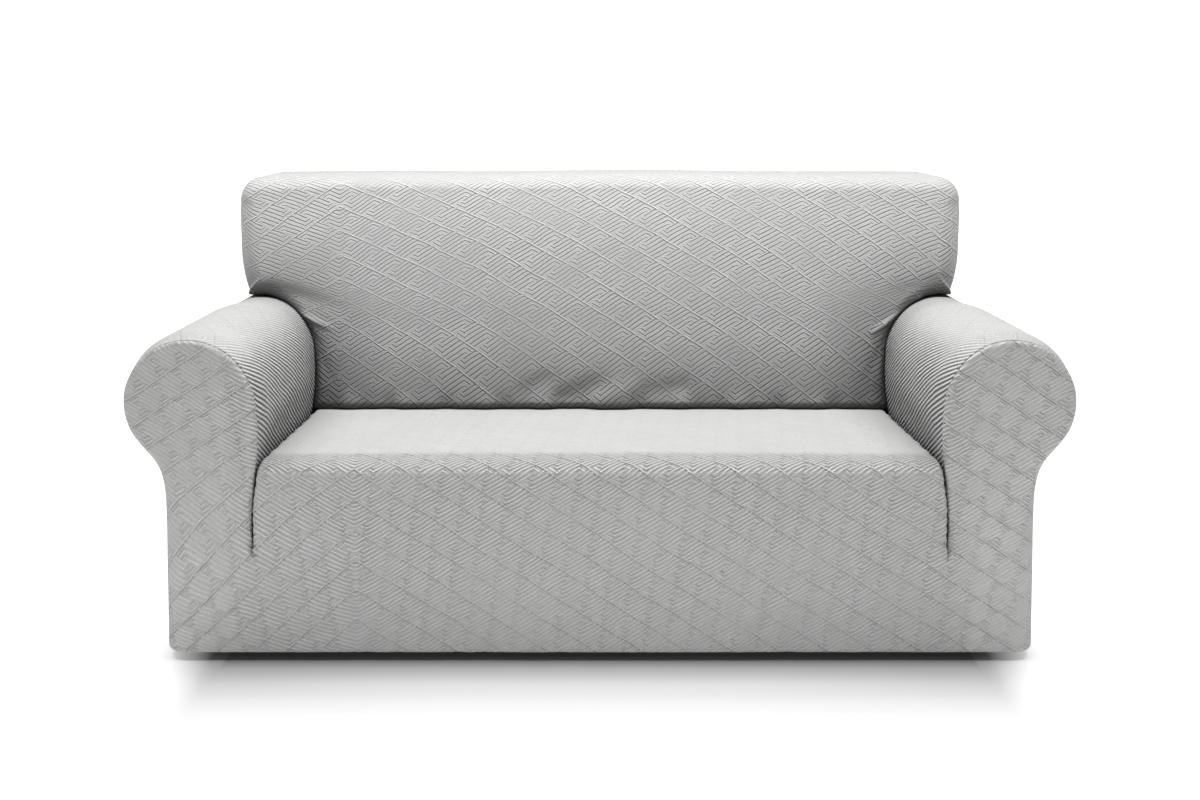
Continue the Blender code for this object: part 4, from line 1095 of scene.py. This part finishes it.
def build_inside_back(material):
    """The face, then the ring that turns over to the top, the sides and the tuck."""
    side, joint = back_side()
    gaps = len(side) - 1
    coarse = spread(np.linspace(-1, 1, ACROSS + 1))
    top = np.tile(side[-1], (ACROSS - 1, 1))
    top[:, 0] = coarse[1:-1] / coarse[-2] * (BACK_HALF - TOP_CORNER)
    top[:, 1] = top_height(top[:, 0])
    top[:, 2] = 270.0
    left = side * (-1, 1, -1, 1, 1, 1) + (0, 0, 540.0, 0, 0, 0)
    border = np.vstack((left, top, side[::-1]))
    last = len(border) - 1
    cells = np.full(last, ROWS)
    cells[gaps:gaps + ACROSS] = COLUMNS
    border = round_top(bent(border, cells, (joint, joint + 1, last - joint - 1, last - joint)))
    rows, columns = gaps * ROWS + 1, ACROSS * COLUMNS + 1
    share = spread(np.linspace(-1, 1, columns))
    to_corner = np.clip((np.abs(share) - coarse[-2]) / (1 - coarse[-2]), 0, 1) ** 2
    bottom = np.tile(side[0], (columns, 1))
    bottom[:, 0] = (side[0, 0] - 0.016) * share + 0.016 * np.sign(share) * to_corner
    bottom[:, 2] = 90.0 + 45.0 * np.sign(share) * to_corner
    bottom[:, 3] = 0.016 + 0.0065 * to_corner
    loop = np.vstack((border, bottom[::-1][1:]))
    aim = np.radians(loop[:, 2])
    inward = np.stack((np.cos(aim), np.sin(aim)), axis=1) * loop[:, 3:4]
    inner = loop[:, :2] + inward
    left_in = inner[:rows]
    top_in = inner[rows - 1:rows + columns - 1]
    right_in = inner[rows + columns - 2:2 * rows + columns - 2][::-1]
    bottom_in = np.vstack((inner[:1], inner[2 * rows + columns - 3:][::-1][1:]))
    grid = coons(bottom_in, top_in, left_in, right_in, (share + 1) / 2)
    level = np.linspace(bottom_in[0, 1], top_in[columns // 2, 1], rows)
    bend = np.abs(share) ** 3
    grid[1:-1, 1:-1, 1] = (level[:, None] + (left_in[:, 1] - level)[:, None] * bend)[1:-1, 1:-1]
    cloth = Cloth()
    face = lift(grid, back_y(grid[..., 0], grid[..., 1]))
    v = grid[0, :, 1] + run(face)
    # painted shade on the back beside the arms, as the darker ground between pulled ribs
    cloth.add(face, *back_place(grid[..., 0], v),
              opened_ground_shade=ground_shade_by_arm(grid[..., 0], grid[..., 1]))
    turn = quarter(9)[:, None]
    plan = loop[:, :2] + inward * (1 - np.sin(turn))[..., None]
    pulled = creases(plan[..., 0], plan[..., 1], PULLS, PULL_TAPER)
    start_y = back_y(inner[:, 0], inner[:, 1]) + pulled[0]
    ring = lift(plan, start_y - pulled * np.cos(turn) + loop[:, 4] * (1 - np.cos(turn)))
    back = np.repeat(ring[-1:], 8, axis=0)
    back[..., 1] += (loop[:, 5] - back[0, :, 1]) * np.linspace(0.125, 1, 8)[:, None]
    ring = np.concatenate((ring, back))
    valley = seam_valley(loop[:, 5] - ring[..., 1]) * (loop[:, 5] > 0.4)
    ring[..., 0] += np.cos(aim) * valley
    ring[..., 2] += np.sin(aim) * valley
    edge_v = np.concatenate((v[:, 0], v[-1, 1:], v[::-1, -1][1:], v[0, ::-1][1:]))
    far = run(ring)
    u = inner[:, 0] - np.cos(aim) * far
    cloth.add(ring, *back_place(u, edge_v - np.sin(aim) * far),
              opened_ground_shade=ground_shade_by_arm(ring[..., 0], ring[..., 2]))
    return cloth.make("inside_back_panel", material)


# %% [markdown]
# ## The outside back
#
# The plain rear panel. Its outline is the arms', the free sides' and the top's, so it closes the
# cover along one seam on each side and over the top.

# %% Outside back
TO_WING = 15                  # gaps in the arm's outline from the hem up to the back's free side
TOP_FINE = 9                  # fine cells in each gap along the top


def build_outside_back(material):
    """The flat rear, the rounded strip out to the side seams and the hem."""
    lower = PROFILE[::-1][:TO_WING * FINE + 1, :2]
    wing = np.stack((WING["x"], WING["z"]), axis=1)
    corner = top_corner()
    top_x = np.linspace(-1, 1, 13) * (BACK_HALF - TOP_CORNER)
    top = np.stack((top_x, top_height(top_x)), axis=1)
    rim = np.vstack((wing * (-1, 1), corner * (-1, 1), top, corner[::-1], wing[::-1]))
    sides = len(wing) + len(corner) - 1
    cells = np.full(len(rim) - 1, FINE)
    cells[sides:-sides] = TOP_FINE
    rim = round_top(refine(rim, cells))
    joint = np.linspace(lower[-1], wing[0], FINE + 1)[1:-1]
    half = np.vstack((lower, joint))
    outline = np.vstack((half * (-1, 1), rim, half[::-1]))
    inset, plan, flat, turn = rounded_rim(outline, REAR_CORNER, 5)
    depth = (REAR_Y - SIDE_SEAM_Y - SEAM) * (1 - np.cos(turn))
    ring = lift(plan, REAR_Y - depth[..., 0])
    plan = fill(inset, len(half) + sides * FINE + 1)
    x, z = plan[..., 0], plan[..., 1]
    middle = smooth((0.82 - np.abs(x)) / 0.1) * smooth((z - 0.03) / 0.1) * smooth((0.88 - z) / 0.1)
    rear = REAR_Y - uneven(x, z, 0.0009) * middle
    rear = rear - crinkle(x, z) * smooth((0.82 - np.abs(x)) / 0.1)
    cloth = Cloth()
    grid = lift(plan, np.minimum(rear, REAR_Y))
    cloth.add(grid, turned(-x, SKIRT_MIRROR_X), z)
    cloth.add(ring, turned(-flat[..., 0], SKIRT_MIRROR_X), flat[..., 1])
    edge = np.concatenate((ring[::-1, 0], grid[0, 1:-1], ring[:, -1]))
    u = np.concatenate((flat[::-1, 0], np.stack((x[0, 1:-1], z[0, 1:-1]), 1), flat[:, -1]))[:, 0]
    inward = turn_under(len(edge), quarter(5), -1.0)
    hem = np.concatenate((edge[None], hem_rows(edge, inward)))
    cloth.add(hem, turned(-u, SKIRT_MIRROR_X), edge[:, 2] - run(hem))
    return cloth.make("outside_back_panel", material)


# %% [markdown]
# ## The four knits and the five panels
#
# One circular-knit polyester jacquard makes the whole cover, but it looks different where it is
# stretched differently. So there are four materials, each with the repeat, the lines and the
# depth of relief that its panels show.

# %% Build the panels
# stretched wide over the back: matt and smooth, with thin dark strokes and a pale long line
# its colours are darker than the seat's, as painted shade on the back's face, and its folds get
# strong painted shade
back_knit = jacquard("stretch_jacquard_back", (0.053, 0.035), (0.053, 0.032), 0.0019,
                     (0.85, 0.80, 1.0), "#b9b9b8", "#6a6a69", 1.6, SUNK)
# close and thick on the seat and skirt: thin pale ribs on a duller ground, flatter on the seat
seat_knit = jacquard("stretch_jacquard_seat", (0.048, 0.029), (0.041, 0.027), 0.0046,
                     (1.0, 0.90, 1.5), "#cacac9", "#5e5e5d", 0.0, RAISED, 0.25,
                     (0, 0.695, 0.735, 0.35), (1, -0.370, -0.340, 0.30))
# hanging plain down the rear: an even, matt face with shallow dark strokes
rear_knit = jacquard("stretch_jacquard_rear", (0.048, 0.029), (0.041, 0.027), 0.0027,
                     (0.9, 0.8, 1.0), "#c1c1c0", "#7a7a79", 0.0, SUNK)
# pulled lengthwise over the arms: round, pale ribs with dark channels, smooth on top of the roll
arm_knit = jacquard("stretch_jacquard_arms", (0.050, 0.031), (0.050, 0.034), 0.0050,
                    (1.0, 0.12, 0.15), "#d2d2d1", "#525251", 0.5, CHANNEL, 0.6,
                    (2, 0.570, 0.630, 0.12), None, ((0.0,) * 6, (1.0,) * 6))
panels = {
    "inside_back": build_inside_back(back_knit),
    "outside_back": build_outside_back(rear_knit),
    "seat_front": build_seat_front(seat_knit),
    "arm_left": build_arm("left_arm_panel", -1, arm_knit),
    "arm_right": build_arm("right_arm_panel", 1, arm_knit)}

# %% [markdown]
# ## Tying the panels to the imported solids
#
# Each panel stands for one solid of the part, which is hidden, and is tied to the part's frame.
# The cut is about a tenth smaller than what it covers, as the knit is stretched over the sofa.

# %% Frame
for node, panel in panels.items():
    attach(panel, "root")
    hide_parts(node)
print("declared sheets:", ", ".join(panel.name for panel in panels.values()))

# %% [markdown]
# ## Floor and light
#
# A catalogue picture stands on white paper under a large softbox overhead. A wide softbox in
# front and a low strip light near the hem brighten the skirt. The paper glows evenly a little
# way off the cover; nearer to it the paper's colour darkens and its glow fades, which paints the
# shadow under the hem.

# %% Floor
FLOOR_Z = -0.014
PAINTED_SHADOW_FOOT = (0.74, 0.425, 0.0)     # half width and half depth of the foot of the painted shadow
SPREAD = (4.0, 1.0, 0.0)      # the painted shadow ends four times sooner at the sides than in front
PAINTED_SHADOW_END = 0.4              # metres in front of the cover at which the painted shadow ends and the paper is plain
# the paper's glow rises between two distances in metres, from one strength to the other, so it is
# dim in the painted shadow
GLOW = (0.14, 0.8, 0.0, 0.92)
# share of the way to the painted shadow's end, and how light the paper's colour is there
PAINTED_SHADOW = ((0.0, 0.27), (0.08, 0.39), (0.20, 0.42), (0.40, 0.51), (1.0, 0.59))

floor_mesh = bpy.data.meshes.new("paper_floor")
floor_mesh.from_pydata([(-9, -6, FLOOR_Z), (9, -6, FLOOR_Z), (9, 6, FLOOR_Z), (-9, 6, FLOOR_Z),
                        (-9, 6, 7), (9, 6, 7)], [], [(0, 1, 2, 3), (3, 2, 5, 4)])
floor = put("paper_floor", floor_mesh)
paper, tree, shader = new_material("backdrop_paper_with_painted_shadow", {
    "Roughness": 0.9, "Specular IOR Level": 0.1, "Emission Color": (1.0, 1.0, 1.0, 1.0)})
away = add(tree, "VectorMath ABSOLUTE", add(tree, "TexCoord").outputs["Object"])
away = add(tree, "VectorMath SUBTRACT", away, PAINTED_SHADOW_FOOT)
away = add(tree, "VectorMath MAXIMUM", away, (0.0, 0.0, 0.0))
away = add(tree, "VectorMath MULTIPLY", away, SPREAD)
away = add(tree, "VectorMath LENGTH", away).outputs["Value"]
# painted shadow: the paper's colour darkens towards the cover's foot
shade = add(tree, "ValToRGB", add(tree, "Math MULTIPLY", away, 1 / PAINTED_SHADOW_END))
stops = shade.color_ramp.elements
while len(stops) < len(PAINTED_SHADOW):
    stops.new(0.5)
for stop, (place, grey) in zip(stops, PAINTED_SHADOW):
    stop.position, stop.color = place, (grey, grey, grey, 1.0)
tree.links.new(shade.outputs[0], shader.inputs["Base Color"])
# the glow fades near the cover, which deepens the painted shadow
glow = add(tree, "MapRange", away, *GLOW)
tree.links.new(glow.outputs[0], shader.inputs["Emission Strength"])
floor_mesh.materials.append(paper)
print("paper floor at", FLOOR_Z, "m")

# %% Light
def softbox(name, place, aim, size, watts):
    """A rectangular area light at a place, turned to the aim."""
    light = bpy.data.lights.new(name, "AREA")
    light.shape = "RECTANGLE"
    light.size, light.size_y = size
    light.energy = watts
    lamp = put(name, light)
    lamp.location = place
    way = np.array(aim) - np.array(place)
    flat_way = np.hypot(way[0], way[1])
    lamp.rotation_euler = (np.arctan2(flat_way, -way[2]), 0.0, np.arctan2(-way[0], way[1]))
    return lamp


lights = [softbox("overhead_softbox", (0.0, -0.28, 2.30), (0.0, -0.28, 0.35), (3.8, 0.7), 112.0),
          softbox("front_softbox", (0.0, -3.00, 0.35), (0.0, 0.0, 0.15), (2.6, 0.5), 11.5),
          softbox("low_strip_light", (0.0, -1.10, 0.04), (0.0, 0.0, 0.06), (2.0, 0.08), 3.5)]
world = bpy.data.worlds.new("studio")
world.use_nodes = True
background = world.node_tree.nodes["Background"].inputs
background["Color"].default_value = (1.0, 1.0, 1.0, 1.0)
background["Strength"].default_value = 0.12
bpy.context.scene.world = world
bpy.context.scene.view_settings.view_transform = "Standard"
print("lights:", ", ".join(lamp.name for lamp in lights))
